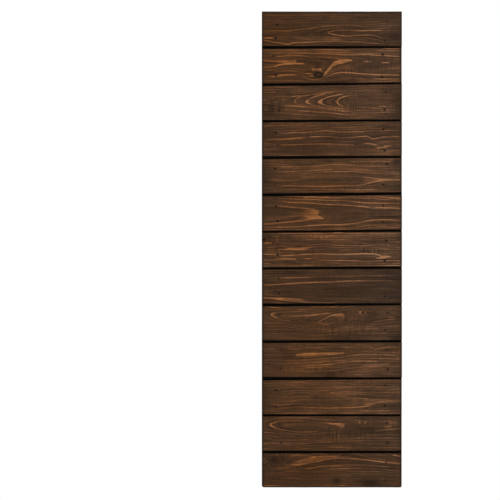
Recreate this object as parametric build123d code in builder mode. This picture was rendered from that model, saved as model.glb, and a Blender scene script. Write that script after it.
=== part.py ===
"""An outdoor shutter panel: lapped horizontal boards nailed across two upright battens.

Millimetres. +Z is up and the show face looks along -Y. The origin is the middle of the left
batten's back face, so the plane y = 0 is the wall that the panel is fixed to.
"""

import os

from build123d import *

# Driving dimensions of the boards
PANEL_WIDTH = 358.8  # length of every board, 14 1/8 in
PANEL_HEIGHT = 1219.2  # 48 in
BOARD_COUNT = 13
BOARD_THICKNESS = 19.05
BOARD_GAP = 5.29  # height of the dark groove between two show faces
EDGE_RADIUS = 1.6  # eased arris all round each show face
LOWER_CORNER_RADIUS = 4.0  # worn corners at the foot of the panel

# Driving dimensions of the lap: a rear lip stands up behind the groove and behind the next board
LIP_THICKNESS = 6.35
LAP_DEPTH = 8.0  # how far the lip reaches up behind the board above
LAP_PLAY = 0.5  # between the lip's front and the back of the board above
LAP_HEADROOM = 1.5  # between the lip's top and the end of the rabbet

# Driving dimensions of the battens
BATTEN_WIDTH = 88.9
BATTEN_THICKNESS = 19.05
BATTEN_EASE = 1.6
BATTEN_SETBACK = 3.0  # battens stop short of the panel's top and foot

# Places worked out from them
board_pitch = (PANEL_HEIGHT + BOARD_GAP) / BOARD_COUNT
board_face = board_pitch - BOARD_GAP  # height of one show face, 3 1/2 in
panel_top = PANEL_HEIGHT / 2
panel_left = -BATTEN_WIDTH / 2
panel_right = panel_left + PANEL_WIDTH
board_back = -BATTEN_THICKNESS
board_front = board_back - BOARD_THICKNESS


def write_board(index):
    """One board, counted from the top: a square blank with its lip and its rabbet."""
    top = panel_top - index * board_pitch
    foot = top - board_face
    is_top_board = index == 0
    is_foot_board = index == BOARD_COUNT - 1

    with BuildPart() as board:
        with BuildSketch(Plane.YZ.offset(panel_left)):
            with Locations((board_front, foot)):
                Rectangle(BOARD_THICKNESS, board_face, align=(Align.MIN, Align.MIN))
            if not is_top_board:
                with Locations((board_back, top)):
                    Rectangle(LIP_THICKNESS, BOARD_GAP + LAP_DEPTH, align=(Align.MAX, Align.MIN))
            if not is_foot_board:
                with Locations((board_back, foot)):
                    Rectangle(
                        LIP_THICKNESS + LAP_PLAY,
                        LAP_DEPTH + LAP_HEADROOM,
                        align=(Align.MAX, Align.MIN),
                        mode=Mode.SUBTRACT,
                    )
        extrude(amount=PANEL_WIDTH)
        if is_foot_board:
            foot_corners = board.edges().filter_by(Axis.Y).group_by(Axis.Z)[0]
            fillet(foot_corners, LOWER_CORNER_RADIUS)
        show_face = board.faces().filter_by(Axis.Y).sort_by(Axis.Y)[0]
        fillet(show_face.edges(), EDGE_RADIUS)
    board.part.label = f"board_{index + 1:02d}"
    export_step(board.part, f"parts/{board.part.label}.step")


def write_batten(label, left_edge):
    """One upright batten behind the boards, with its four long arrises eased."""
    height = PANEL_HEIGHT - 2 * BATTEN_SETBACK
    with BuildPart() as batten:
        with BuildSketch(Plane.XY.offset(-height / 2)):
            with Locations((left_edge, 0)):
                Rectangle(BATTEN_WIDTH, BATTEN_THICKNESS, align=(Align.MIN, Align.MAX))
        extrude(amount=height)
        fillet(batten.edges().filter_by(Axis.Z), BATTEN_EASE)
    batten.part.label = label
    export_step(batten.part, f"parts/{label}.step")


os.makedirs("parts", exist_ok=True)

for index in range(BOARD_COUNT):
    write_board(index)
write_batten("left_batten", panel_left)
write_batten("right_batten", panel_right - BATTEN_WIDTH)

print(f"{PANEL_WIDTH} x {PANEL_HEIGHT} x {-board_front} mm, show faces {board_face:.2f} mm")
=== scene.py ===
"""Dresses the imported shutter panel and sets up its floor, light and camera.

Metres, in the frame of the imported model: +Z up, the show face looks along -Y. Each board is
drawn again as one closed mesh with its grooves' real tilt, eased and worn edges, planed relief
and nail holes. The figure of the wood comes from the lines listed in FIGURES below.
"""

import math

import bpy
import numpy as np
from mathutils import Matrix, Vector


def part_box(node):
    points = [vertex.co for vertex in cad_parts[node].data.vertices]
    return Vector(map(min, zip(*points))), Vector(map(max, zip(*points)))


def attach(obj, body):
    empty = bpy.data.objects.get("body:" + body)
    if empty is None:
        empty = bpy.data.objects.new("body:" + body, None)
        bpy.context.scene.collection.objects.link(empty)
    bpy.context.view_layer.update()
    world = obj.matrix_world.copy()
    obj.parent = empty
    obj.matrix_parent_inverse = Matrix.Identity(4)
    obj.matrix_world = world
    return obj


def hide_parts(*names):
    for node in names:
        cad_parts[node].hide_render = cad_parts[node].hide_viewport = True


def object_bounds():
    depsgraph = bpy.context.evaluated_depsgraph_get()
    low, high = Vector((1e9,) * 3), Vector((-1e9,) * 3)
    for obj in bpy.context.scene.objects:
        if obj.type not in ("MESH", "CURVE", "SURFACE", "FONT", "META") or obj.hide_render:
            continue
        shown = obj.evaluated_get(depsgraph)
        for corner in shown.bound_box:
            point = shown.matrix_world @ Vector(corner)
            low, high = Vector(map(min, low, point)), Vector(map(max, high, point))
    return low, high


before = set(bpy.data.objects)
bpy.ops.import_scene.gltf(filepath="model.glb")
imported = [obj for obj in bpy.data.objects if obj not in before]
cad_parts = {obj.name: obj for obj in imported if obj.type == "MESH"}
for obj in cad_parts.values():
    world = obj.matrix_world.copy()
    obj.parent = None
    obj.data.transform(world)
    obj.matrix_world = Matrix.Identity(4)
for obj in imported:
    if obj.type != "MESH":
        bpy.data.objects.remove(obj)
cad_low, cad_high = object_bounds()

MM = 0.001

# The panel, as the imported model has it
BOARD_COUNT = 13
PANEL_LEFT = cad_low.x
PANEL_RIGHT = cad_high.x
PANEL_TOP = cad_high.z
PANEL_FOOT = cad_low.z
PANEL_MIDDLE = (PANEL_LEFT + PANEL_RIGHT) / 2
LENGTH = PANEL_RIGHT - PANEL_LEFT
FRONT = cad_low.y
GROOVE = 5.29 * MM
PITCH = (PANEL_TOP - PANEL_FOOT + GROOVE) / BOARD_COUNT
FACE = PITCH - GROOVE
BOARD_BACK = -19.05 * MM
LIP = 6.35 * MM
LIP_RISE = 13.29 * MM
RABBET = 6.85 * MM
RABBET_RISE = 9.5 * MM
EASE = 1.6 * MM
FOOT_CORNER = 4.0 * MM

# One unit of the figures below is a 140th of a board's length
UNIT = LENGTH / 140
HALF_FACE = 17.35  # units

# Mesh density
EASE_STEPS = np.array([0.0, 0.2, 0.6, 1.1, 1.6]) * MM
SLICE_STEP = 2.2 * MM
NAIL_STEPS = np.array([-2.4, -1.8, -1.2, -0.6, 0.0, 0.6, 1.2, 1.8, 2.4]) * MM
CLOSEST_SLICES = 0.25 * MM
FACE_ROWS = 86
BACK_ROWS = 19
SIDE_ROWS = 4
STEP_ROWS = 2
RABBET_ROWS = 3
CORNER_ROWS = 4
LIP_ROWS = 4
BATTEN_SLICES = 180
BATTEN_SIDES = (24, 5, 40, 5)
BATTEN_TURNS = np.linspace(0, math.pi / 2, 5)
SHARP_ANGLE = math.radians(40)

# How far the upper and the lower edge of each groove rise above even spacing, left and right, mm
GROOVE_UPPER = [
    (0.1, -0.2), (-1.3, 0.7), (-1.2, 0.6), (0.3, 1.6), (-0.9, 2.5), (-2.6, 1.3),
    (-1.6, 0.8), (-0.2, 0.8), (-0.3, 0.6), (-0.1, -0.5), (-1.0, -1.1), (-0.6, -0.3),
]
GROOVE_LOWER = [
    (-1.7, 1.1), (-2.8, 2.0), (-2.0, 1.9), (-1.5, 1.8), (-2.7, 1.3), (-1.9, 1.0),
    (-1.8, 0.1), (-2.0, 1.3), (-1.1, 0.1), (-2.9, -0.2), (-0.5, -0.3), (-1.4, -0.8),
]

# How far each board stops short of the panel's left and right edge, mm
END_TRIM = [
    (0.0, 0.2), (0.0, 0.9), (0.0, 0.2), (0.3, 0.2), (0.0, 0.4), (0.7, 0.0), (0.2, 0.0),
    (0.5, 0.0), (0.6, 0.1), (0.7, 0.0), (0.4, 0.6), (0.2, 1.0), (0.7, 0.8),
]

# Relief of the planed and weathered face, always inwards, and how far the rings stand out of it
GRAIN_RELIEF = 0.14 * MM
RING_SHARE = 0.6
LATE_SHARE = 1.6
WEAR_LEVEL = 0.7
WEAR_PLAY = 0.3
ROUGH_RELIEF = 0.06 * MM
EDGE_WANE = 0.3 * MM

# Cupping: its depth, and the share of it that a board has, which swings from board to board
CUP = 0.25 * MM
CUP_LEVEL = 0.6
CUP_PLAY = 0.4
CUP_STEP = 2.1

# Nail holes
NAIL_HOLE_DEPTH = 0.9 * MM
NAIL_HOLE_FLAT = 1.5 * MM
NAIL_HOLE_SLOPE = 1.5 * MM

# Rims painted darker, as painted shade along the board ends, the panel's outer edges and beside the
# grooves: (how dark at the very edge, reach)
END_RIM = (1.4, 7.4 * MM)
OUTER_RIM = (1.7, 4.6 * MM)
GROOVE_RIM = (0.3, 2.6 * MM)

# Other shades of the face; the wood beside a bright line is darker, and so are the hidden sides
HALO_DEPTH = 0.40
HALO_CLEARANCE = 1.5
HIDDEN_SHADE = 0.1
CHATTER_DEPTH = 0.13
CHATTER_FADE_ALONG = 3  # units
CHATTER_FADE_DOWN = 2.5  # units

# The stain round a nail
NAIL_STAIN = 1.25
NAIL_STAIN_STRETCH = 1.15
NAIL_STAIN_FLAT = 1.7 * MM
NAIL_STAIN_SLOPE = 2.2 * MM
NAIL_OUTSHONE = 0.3

# Knots: a dark rim round a heart that is paler on one side, in shares of the knot's radius
KNOT_RIM_FROM = 0.35
KNOT_RIM_TO = 0.85
KNOT_RIM_DARK = 1.3
KNOT_HEART = 0.6
KNOT_HEART_DARK = 0.75
KNOT_HEART_PALER = 0.5
KNOT_SOFT = 0.3

# All boards turn greyer towards their right end, from one place on and over some units
GREYER = 0.9
GREYER_FROM = 55
GREYER_OVER = 60

# Year rings, in levels of the figures below. Every board and the battens have rings of their own.
RING_SPACING = 2.3
BOARD_RINGS = 41 * RING_SPACING
BATTEN_RINGS = 700 * RING_SPACING
RINGS_INWARDS = 0.5
GRAIN_SQUEEZE = 0.3
PLATE_SLACK = 0.02
PATH_STEPS = 6

# Soft ends and edges of the bright lines and patches, in units
LINE_FADE = 7.0
LONGEST_FADE = 0.3  # share of the line
BLUNT_FADE = 0.6
CORE_FLAT = 0.1  # share of the line's width
CORE_SLOPE = 0.85  # share of the line's width
HALO_REACH = 2.0
FILL_EDGE = 0.8

# The noises of a board: (first seed, cell along, cell down), in units, and the wane's in metres
WARP = (1, 11, 3)
WARP_REACH = 0.26
FINE_WARP = (21, 4, 1.5)
FINE_WARP_REACH = 0.15
WANE_ABOVE = (40, 0.035, 1)
WANE_BELOW = (60, 0.035, 1)
RELIEF_WEAR = (80, 20, 4)
ROUGHNESS = (90, 3, 1)
NOISE_TABLE = 64
NOISE_START = (17, 29)

# The noises of a batten: (first seed, cell up, cell across), in metres
HEART_SWAY = (0, 0.35, 1)
HEART_DEPTH = (3, 0.22, 1)
BATTEN_WAVER = (5, 0.04, 0.006)
BATTEN_STAIN = (7, 0.12, 0.03)
BATTEN_HUES = (11, 0.2, 0.05)

# A batten's heart lies in front of it and sways; then the looks of the batten itself
HEART_FORWARDS = 12 * MM
HEART_PLAY = 22 * MM
HEART_SIDEWAYS = 18 * MM
BATTEN_WAVER_REACH = 0.12  # units
BATTEN_DARK = 0.12
BATTEN_CHATTER = 0.15
BATTEN_TONE = 0.95
BATTEN_WARMTH = 0.5

# A nail: (radius, depth behind the show face) from its head down its shank, mm
NAIL_PROFILE = [
    (1.0, 0.50), (1.6, 0.56), (1.95, 0.72), (2.0, 0.95), (1.7, 1.15), (1.0, 1.3),
    (0.95, 6.0), (0.9, 11.5),
]
NAIL_CROWN = 0.48 * MM
NAIL_POINT = 12.5 * MM
NAIL_SIDES = 24

# The figure of each board, in units from the left end and, downwards, from near its upper edge.
# gain: strength of all its bright lines. warmth: redder above 0 and greyer below.
# rise: how far the figure's zero lies above the board's evenly spaced place, mm.
# tone: its paleness.
# lines: (ring level, strength, width, points[, blunt end]); a None level leaves the rings alone.
# guides: (ring level, points), which only steer the rings.
# fills: (strength, fade at start, fade at end, [(u, upper edge, lower edge)]), bright patches.
# marks: (u, v, radius u, radius v, depth), dark blotches. knots: (u, v, radius u, radius v).
# chatter: (from u, to u, from v, to v, depth), cross marks. nails: (u, v, how dark).
# calm: (u, v, radius u, radius v, share), zones with fewer year rings.
# glows: (u, v, radius u, radius v, rise), broad paler or, where negative, darker zones.
# hues: the same for warmth.
FIGURES = {}
FIGURES["board_01"] = dict(
    gain=0.95, warmth=0.0, rise=0, tone=1.02,
    lines=[
        (2, 0.75, 0.9, [(122, 27.6), (117, 25.2), (111, 23.9), (99, 23.6), (85, 24.4), (75, 23.6),
            (69.5, 22.4), (66.3, 20.9), (71, 19.5), (85, 19), (99, 19.3), (123, 18.8)]),
        (7, 0.35, 0.9, [(2, 18.9), (18, 18.9), (30, 18.7), (45, 17), (66, 13.8), (85, 13.8),
            (105, 14.5)]),
        (None, 0.4, 0.9, [(9, 18.9), (18, 18.9)]),
        (17, 0.45, 0.8, [(80, 3.9), (96, 3.8), (112, 4.0)]),
        (12, 0.3, 0.8, [(8, 11), (26, 10.9)]),
        (5.5, 0.25, 3.0, [(28, 26.5), (55, 27.5), (82, 27)]),
        (6, 0.8, 1.3, [(-3, 26.8), (14, 26.4)]),
        (8, 0.55, 1.3, [(-3, 28.6), (11, 29.8)]),
        (None, 0.6, 1.0, [(64, 29.9), (80, 30.2), (100, 31), (112, 31.6)]),
        (9, 0.85, 0.9, [(5, 30), (20, 31.9), (26.4, 33.0), (30.4, 31.6), (40, 31.2), (60, 30), (80, 30),
            (100, 30.9), (121, 32.2)]),
    ],
    guides=[
        (0, [(95, 21.7), (128, 22)]), (4, [(50, 22)]), (6, [(5, 23)]), (21, [(0, 0), (70, 0), (140, 0)]),
        (12.5, [(60, 34.7), (130, 34)]), (11, [(26, 34.7)]), (10.5, [(0, 34.7)]),
    ],
    marks=[(134, 25, 5, 4, 0.5), (50, 22, 8, 2.2, 0.35), (63, 6.5, 4, 1.5, 0.25)],
    nails=[(15.6, 13.1, 0.9), (14, 26.7, 1), (124.8, 10.6, 0.35), (122.8, 28.9, 0.6)],
    calm=[(50, 22, 12, 4, 0.7), (20, 23, 18, 4, 0.5)],
    glows=[
        (112, 12, 26, 12, 0.1), (6, 18, 30, 30, 0.03), (50, 22, 13, 3.5, -0.1), (96, 24, 28, 8, 0.06),
        (94, 21.6, 26, 2.6, 0.12), (66, 22.5, 8, 2.5, 0.08), (92, 30, 24, 2.4, 0.06),
        (137, 20, 10, 20, -0.08),
    ],
    hues=[(5, 15, 34, 30, 1.1), (136, 20, 16, 30, -0.4)],
)
FIGURES["board_02"] = dict(
    gain=0.92, warmth=0.2, rise=1.35, tone=1.13,
    lines=[
        (None, 0.42, 0.8, [(52, 4.6), (80, 5.3), (110, 5.6), (140, 6.4)]),
        (None, 0.4, 0.8, [(-3, 2.6), (60, 2.2), (92, 2.6)]),
        (14, 0.8, 0.8, [(118, 0.8), (143, 0.8)]),
        (12, 0.7, 0.9, [(112, 2.6), (125, 2.9), (143, 3.5)]),
        (13, 0.35, 0.8, [(5, 2.2), (60, 2.2)]),
        (9, 0.55, 0.9, [(5, 5.2), (40, 5.4), (66, 6.2), (85, 7), (100, 6.7), (113, 7.4), (143, 8.8)]),
        (5, 0.65, 1.0, [(8, 9.4), (16, 8.9), (30, 7.9), (40, 8.3), (53, 10), (66, 10), (74, 11),
            (83, 11.9), (90, 12.4)]),
        (5, 0.85, 1.6, [(90, 12.4), (81, 14.8), (72.5, 17.2), (67.4, 20.2), (64.8, 24.0),
            (61.5, 27.8)], "both"),
        (3, 0.35, 1.0, [(-4, 13.2), (12, 13.5), (34.5, 14.3)], "end"),
        (2, 0.75, 1.1, [(-4, 19.6), (11, 19.0), (18, 16.9), (30, 15.9), (42.5, 16.2)], "end"),
        (3, 0.8, 1.0, [(8, 24.4), (19, 23.5), (30, 23.1), (38, 23.6)]),
        (7, 0.75, 1.5, [(6, 29.8), (21, 27.7), (30, 27.2), (38, 27.9)]),
        (7, 0.6, 0.9, [(38, 28.6), (43, 30.4), (49.5, 31.8), (56, 31.7), (62, 31)]),
        (8, 0.75, 1.0, [(60, 31.6), (63.3, 30.8), (67.6, 27.7), (74, 25.5), (81, 24.7), (98, 25.8),
            (113, 26.9), (143, 27.5)]),
        (12, 0.55, 0.9, [(64, 33), (80, 31.5), (90, 30.7), (105, 31.3), (143, 31.7)]),
        (13, 0.45, 0.8, [(-3, 33), (45, 33.2)]),
        (14.5, 0.65, 0.8, [(95, 33.7), (143, 33.7)]),
        (None, 1.0, 1.3, [(118, 15.1), (129, 15.1)]),
        (None, 0.65, 1.2, [(101, 13.7), (111, 13.7)]),
        (None, 0.8, 0.9, [(41, 26.4), (51, 25.2)]),
        # a painted highlight: a small glint in the knot's heart
        (None, 0.6, 0.8, [(58.6, 26.4), (59.8, 26.4)], "both"),
        (None, 0.8, 0.9, [(42, 29.2), (52, 28.0)]),
    ],
    guides=[
        (7, [(105, 17), (130, 17)]), (1.5, [(45, 20), (10, 21.5)]), (15, [(0, 0), (70, 0)]),
        (15, [(0, 34.7), (60, 34.7)]),
    ],
    fills=[
        (0.86, 6, 0.8, [(-3, 12.4, 14.0), (12, 12.6, 14.4), (20, 12.5, 15.6), (34.5, 12.4, 16.2)]),
        (0.8, 3, 0.8, [(22, 14.6, 16.8), (42.5, 15.2, 17.0)]),
        (0.85, 1, 1, [(61.3, 27.2, 28.2), (64, 23.0, 26.6), (67, 18.8, 23.4), (70, 16.2, 19.8)]),
        (0.95, 2, 1.5, [(68, 17.2, 20.0), (73, 13.6, 17.6), (78, 12.0, 15.8), (84, 11.3, 14.2),
            (90, 11.7, 13.1)]),
        (0.85, 1, 1, [(50.0, 21.0, 23.3), (59.2, 20.8, 23.3)]),
    ],
    marks=[(110, 18, 16, 5, 0.2), (68, 33.5, 6, 1.5, 0.2)],
    knots=[(56.4, 26.9, 4.7, 2.9)],
    chatter=[(82, 99, 11, 34, 0.6), (100, 134, 9, 24, 0.3)],
    nails=[(11.8, 8.4, 0.6), (14, 27.7, 0.8), (120.7, 6.8, 0.9), (120, 29.4, 1)],
    calm=[
        (47, 15.3, 13, 4, 1.0), (116, 17, 24, 8, 1.0), (44, 20, 10, 4, 0.7), (92, 16, 10, 5, 0.7),
        (77, 21.5, 11, 4, 0.9),
    ],
    glows=[
        (22, 17, 28, 12, -0.09), (47, 15.3, 10, 3.2, 0.3), (118, 16, 24, 14, 0.08),
        (112, 12, 20, 4, -0.03), (112, 20, 30, 14, 0.05),
    ],
    hues=[(10, 18, 40, 18, 0.7), (78, 14, 14, 5, 0.4), (125, 18, 30, 20, -0.35)],
)
FIGURES["board_03"] = dict(
    gain=1.0, warmth=-0.3, rise=0.5, tone=1.21,
    lines=[
        (None, 0.45, 0.8, [(84, 25.4), (112, 25.6), (143, 25.2)]),
        (1.5, 0.8, 1.0, [(90, 10.6), (83, 11.6), (78, 13.6), (75.4, 16.9), (77, 19.2), (81.5, 21.4)]),
        (5, 0.85, 1.0, [(84, 9.2), (70, 11.2), (62, 13.7), (56, 17), (59, 18.8), (66, 20.4)]),
        (5, 0.42, 0.9, [(57, 17.8), (62, 20.0), (70, 22.0), (80, 24.2), (92, 26.4)]),
        (7.5, 0.8, 1.0, [(66, 8.6), (54, 11.6), (48, 14), (43.8, 17), (47, 18.8), (54, 19.6)]),
        (7.5, 0.38, 0.9, [(45, 18), (50, 20), (62, 22.2), (76, 25), (94, 27.6)]),
        (9.5, 0.65, 1.0, [(52, 9.8), (40, 11.5), (35, 13.6), (33, 17), (36, 18.5)]),
        (9.5, 0.35, 0.8, [(30, 18.6), (42, 20.2), (56, 22.4), (70, 25.4)]),
        (11.5, 0.55, 0.9, [(-3, 13), (10, 12.2), (30, 11.6), (45, 10.6), (60, 8.4), (75, 6.6)]),
        (None, 0.7, 1.3, [(9, 13.2), (15, 12.3), (20, 12.2)]),
        (None, 0.6, 0.9, [(-3, 25.2), (9, 24.8)]),
        (10.5, 0.36, 0.9, [(18, 20.5), (40, 21.3), (60, 23.2), (80, 26.3), (98, 28)]),
        (13, 0.42, 0.9, [(16, 24.3), (40, 25.8), (60, 27.3), (80, 29.2), (100, 30.2)]),
        (15.5, 0.4, 0.8, [(-3, 7.9), (20, 7.9)]),
        (17.5, 0.35, 0.8, [(-3, 5.0), (22, 5.2)]),
        (19.5, 0.3, 0.8, [(-3, 2.8), (25, 2.6)]),
        (19, 0.4, 0.8, [(-3, 34), (25, 34.3)]),
        (None, 0.4, 0.8, [(112, 21.8), (136, 21.8)]),
        (None, 0.35, 0.8, [(92, 21.6), (104, 22.4), (130, 25)]),
        (None, 0.6, 0.9, [(-3, 15), (8, 15)]),
        (None, 0.6, 0.8, [(10, 17.2), (17, 17.2)]),
        (None, 0.5, 0.8, [(10.5, 22.4), (17, 22.3)]),
        (None, 0.5, 0.8, [(-3, 18.6), (9, 18.6)]),
        (None, 0.4, 0.8, [(-3, 22.8), (12, 23.0)]),
    ],
    guides=[
        (0, [(100, 17), (130, 17)]), (11, [(5, 17)]), (21, [(0, 0), (60, 0)]), (15, [(100, 1), (140, 1)]),
        (8, [(105, 8), (138, 9)]), (8, [(138, 24)]), (14, [(138, 31)]), (17.5, [(70, 34.7), (120, 34.7)]),
    ],
    fills=[
        (0.7, 1, 2, [(43.4, 16.4, 17.8), (45, 15.8, 18.3), (47.4, 15.4, 18.7)]),
        (0.75, 1, 2, [(55.6, 16.4, 17.8), (58, 15.6, 18.4), (60.5, 15.0, 18.9)]),
        (0.5, 1, 2, [(32.3, 16.0, 18.0), (34, 15.2, 18.2)]),
    ],
    marks=[
        (5.2, 18, 0.8, 5, 0.4), (9.4, 21, 0.9, 8, 0.55), (17.4, 21, 0.9, 7, 0.45), (13, 16, 0.7, 4, 0.3),
        (8, 25, 4, 7, 0.35), (124, 6, 4, 3.5, 0.3), (128, 6, 3, 3, 0.3), (92, 24.3, 2, 2, 0.25),
        (137, 20, 5, 18, 0.4), (7, 18, 6, 6, 0.2), (134, 30, 8, 5, 0.3), (130, 3, 5, 4, 0.2),
    ],
    chatter=[(0, 26, 11, 34, 0.5), (70, 100, 8, 30, 0.35), (112, 138, 2, 34, 0.3)],
    nails=[(16, 7, 0.4), (17.5, 25.8, 0.9), (124, 7.5, 0.5), (122.6, 24.7, 0.8)],
    calm=[(112, 17, 28, 6, 0.8)],
    glows=[
        (10, 14, 18, 12, -0.2), (115, 14, 24, 14, 0.08), (6, 27, 14, 9, -0.2), (138, 17, 9, 30, -0.14),
        (85, 29, 26, 5, 0.08), (70, 3, 50, 4, -0.04),
    ],
    hues=[(5, 15, 12, 18, 0.3), (130, 26, 20, 16, 0.1)],
)
FIGURES["board_04"] = dict(
    gain=0.86, warmth=-0.1, rise=1.1, tone=1.15,
    lines=[
        (1.5, 0.4, 0.8, [(4, 1.6), (60, 1.0)]),
        (3.6, 0.6, 0.8, [(122, 3.4), (143, 3.5)]),
        (5, 0.3, 0.8, [(-3, 4.8), (60, 4.2)]),
        (7, 0.35, 0.8, [(10, 7.4), (40, 5.8), (60, 5.6)]),
        (6.5, 0.45, 0.8, [(67, 6.6), (90, 5.7), (113, 4.8)]),
        (11, 0.6, 0.9, [(16, 12), (40, 11.4), (60, 9.8), (68, 9.9), (80, 10.9), (100, 10.1), (121, 9.4),
            (143, 9.4)]),
        (13, 0.3, 0.9, [(-3, 13.2), (12, 12.9)]),
        (17, 0.85, 1.7, [(2, 18.5), (22, 17.7), (35, 17.2), (46, 17.0)]),
        (16.5, 0.82, 0.95, [(44, 16), (60, 15.4), (68, 15.5), (80, 16.3), (90, 16.1), (100, 15.4),
            (105.7, 15.4), (110.5, 17.2), (114, 16.9), (121, 16), (130, 15.4), (143, 15.7)]),
        (22.8, 0.45, 0.9, [(-3, 22.3), (10, 22.8)]),
        (23.2, 0.7, 0.95, [(16, 24.1), (30, 23.3), (52, 22.6), (66, 22.6), (80, 23.2),
            (93, 23.4)], "end"),
        (24, 0.65, 0.95, [(100, 21.7), (107.6, 22.1), (118, 24.2)]),
        (26, 0.9, 1.1, [(111, 26.6), (124, 26.1), (129, 25)]),
        (24.5, 0.6, 0.95, [(120, 24.8), (126, 24.6), (132, 24.6)]),
        (28, 0.5, 1.0, [(-3, 28.6), (10, 27.7), (18, 27.3)]),
        (32, 0.4, 1.0, [(-3, 32.4), (10, 31.9), (18, 32.2)]),
        (34, 0.6, 0.8, [(16, 34), (40, 33.8), (66, 33.4), (88, 33.1)]),
        (None, 0.35, 0.8, [(100, 29.8), (143, 29.7)]),
        (None, 0.3, 0.8, [(112, 31.9), (143, 31.9)]),
    ],
    guides=[
        (0, [(0, 0), (70, 0), (140, 0)]), (35, [(0, 34.7), (50, 34.7), (140, 34.7)]),
        (19.5, [(134, 19.5)]), (20, [(96, 20)]),
    ],
    marks=[
        (96, 21.8, 4, 1.8, 0.4), (134, 20.4, 6, 3, 0.3), (62, 28, 20, 4, 0.15), (63, 8.4, 8, 0.9, 0.25),
    ],
    nails=[(13.8, 11.2, 0.95), (16, 23.8, 0.4), (121.4, 8, 0.9), (122.6, 29.3, 0.65)],
    calm=[(40, 20, 40, 1.5, 0.8), (58, 28, 40, 3.5, 0.7)],
    glows=[
        (16, 16, 22, 14, -0.09), (112, 14, 26, 12, 0.08), (4, 12, 12, 16, -0.14), (96, 21, 6, 4, -0.08),
        (122, 25, 16, 6, 0.12), (108, 29.5, 34, 5, 0.07), (40, 7.6, 26, 2.6, -0.08),
        (60, 29, 30, 4, -0.06),
    ],
    hues=[(30, 17, 22, 5, 0.3), (130, 26, 20, 10, -0.2)],
)
FIGURES["board_05"] = dict(
    gain=0.74, warmth=0.0, rise=2.1, tone=1.19,
    lines=[
        (19, 0.3, 0.8, [(68, 2.2), (138, 2.4)]),
        (17, 0.35, 0.8, [(85, 4), (138, 4.1)]),
        (16, 0.3, 0.8, [(8, 5.2), (50, 5)]),
        (13.8, 0.45, 0.9, [(10, 8.6), (34, 8.8), (42, 8.0), (58, 7.4), (70, 6.3), (82, 6.5), (90, 7.1),
            (132, 7.4)]),
        (12, 0.35, 0.8, [(88, 8.8), (138, 9)]),
        (9.5, 0.5, 0.9, [(44, 12.6), (58, 11.8), (80, 11.2), (100, 12), (138, 13.3)]),
        (7.5, 0.35, 0.8, [(58, 13.8), (100, 14), (138, 14.8)]),
        (6, 0.45, 0.9, [(12, 14.2), (40, 14)]),
        (5.6, 0.5, 0.9, [(90, 15.1), (115, 16), (138, 16.5)]),
        (3, 0.45, 0.9, [(48, 17.9), (75, 18.1), (90, 18.6), (104, 19.4)]),
        (3, 0.75, 1.1, [(96, 19), (104, 19.5), (113, 20.5), (122, 21.5), (144, 22.1)]),
        (3, 0.92, 1.05, [(14, 29), (30, 27.9), (52, 28.7), (80, 28), (90, 28.1), (100, 27), (108.5, 25.1),
            (114, 23.7), (122, 22.5)]),
        (1, 0.42, 1.4, [(8, 21.7), (18, 22.4), (30, 22.4), (40, 21.4)]),
        (1.5, 0.28, 1.2, [(9, 24.4), (40, 24.4)]),
        (6.5, 0.45, 0.9, [(24, 31.8), (66, 31.5), (100, 31.8), (130, 31)]),
        (8, 0.35, 0.8, [(64, 32.8), (132, 33.2)]),
    ],
    guides=[
        (0, [(52, 23), (75, 23)]), (21, [(0, 0), (70, 0), (140, 0)]),
        (9.5, [(0, 34.7), (70, 34.7), (140, 34.7)]), (3.5, [(-4, 28.5), (-4, 18)]), (2.6, [(100, 23)]),
    ],
    fills=[
        (0.45, 14, 2, [(101, 20.8, 26.8), (106, 20.2, 26.0), (114, 20.6, 24.8), (122, 21.4, 23.2)]),
        (0.72, 8, 2, [(102, 25.4, 26.9), (108, 23.6, 25.9), (114, 22.2, 24.4), (122, 21.3, 23.1),
            (143, 21.2, 22.9)]),
    ],
    marks=[
        (-2, 18, 9, 20, 0.35), (67.6, 4.8, 4, 2.2, 0.4), (133.8, 4.3, 3, 3.5, 0.45), (136, 30, 6, 3, 0.2),
        (101, 22.5, 3, 2, 0.2),
    ],
    nails=[(13.3, 11, 0.95), (13.1, 27, 0.4), (124.7, 6.4, 0.9), (121.2, 26.7, 0.7)],
    calm=[(66, 23.4, 44, 4.2, 1.0)],
    glows=[
        (-1, 17, 11, 30, -0.16), (136, 5, 6, 5, -0.2), (126, 22, 20, 4, 0.1), (65, 9, 50, 8, 0.07),
        (22, 30, 12, 5, -0.06),
    ],
    hues=[(-3, 17, 12, 30, -0.5), (140, 12, 16, 20, -0.8), (45, 27, 30, 5, 0.3)],
)
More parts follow.
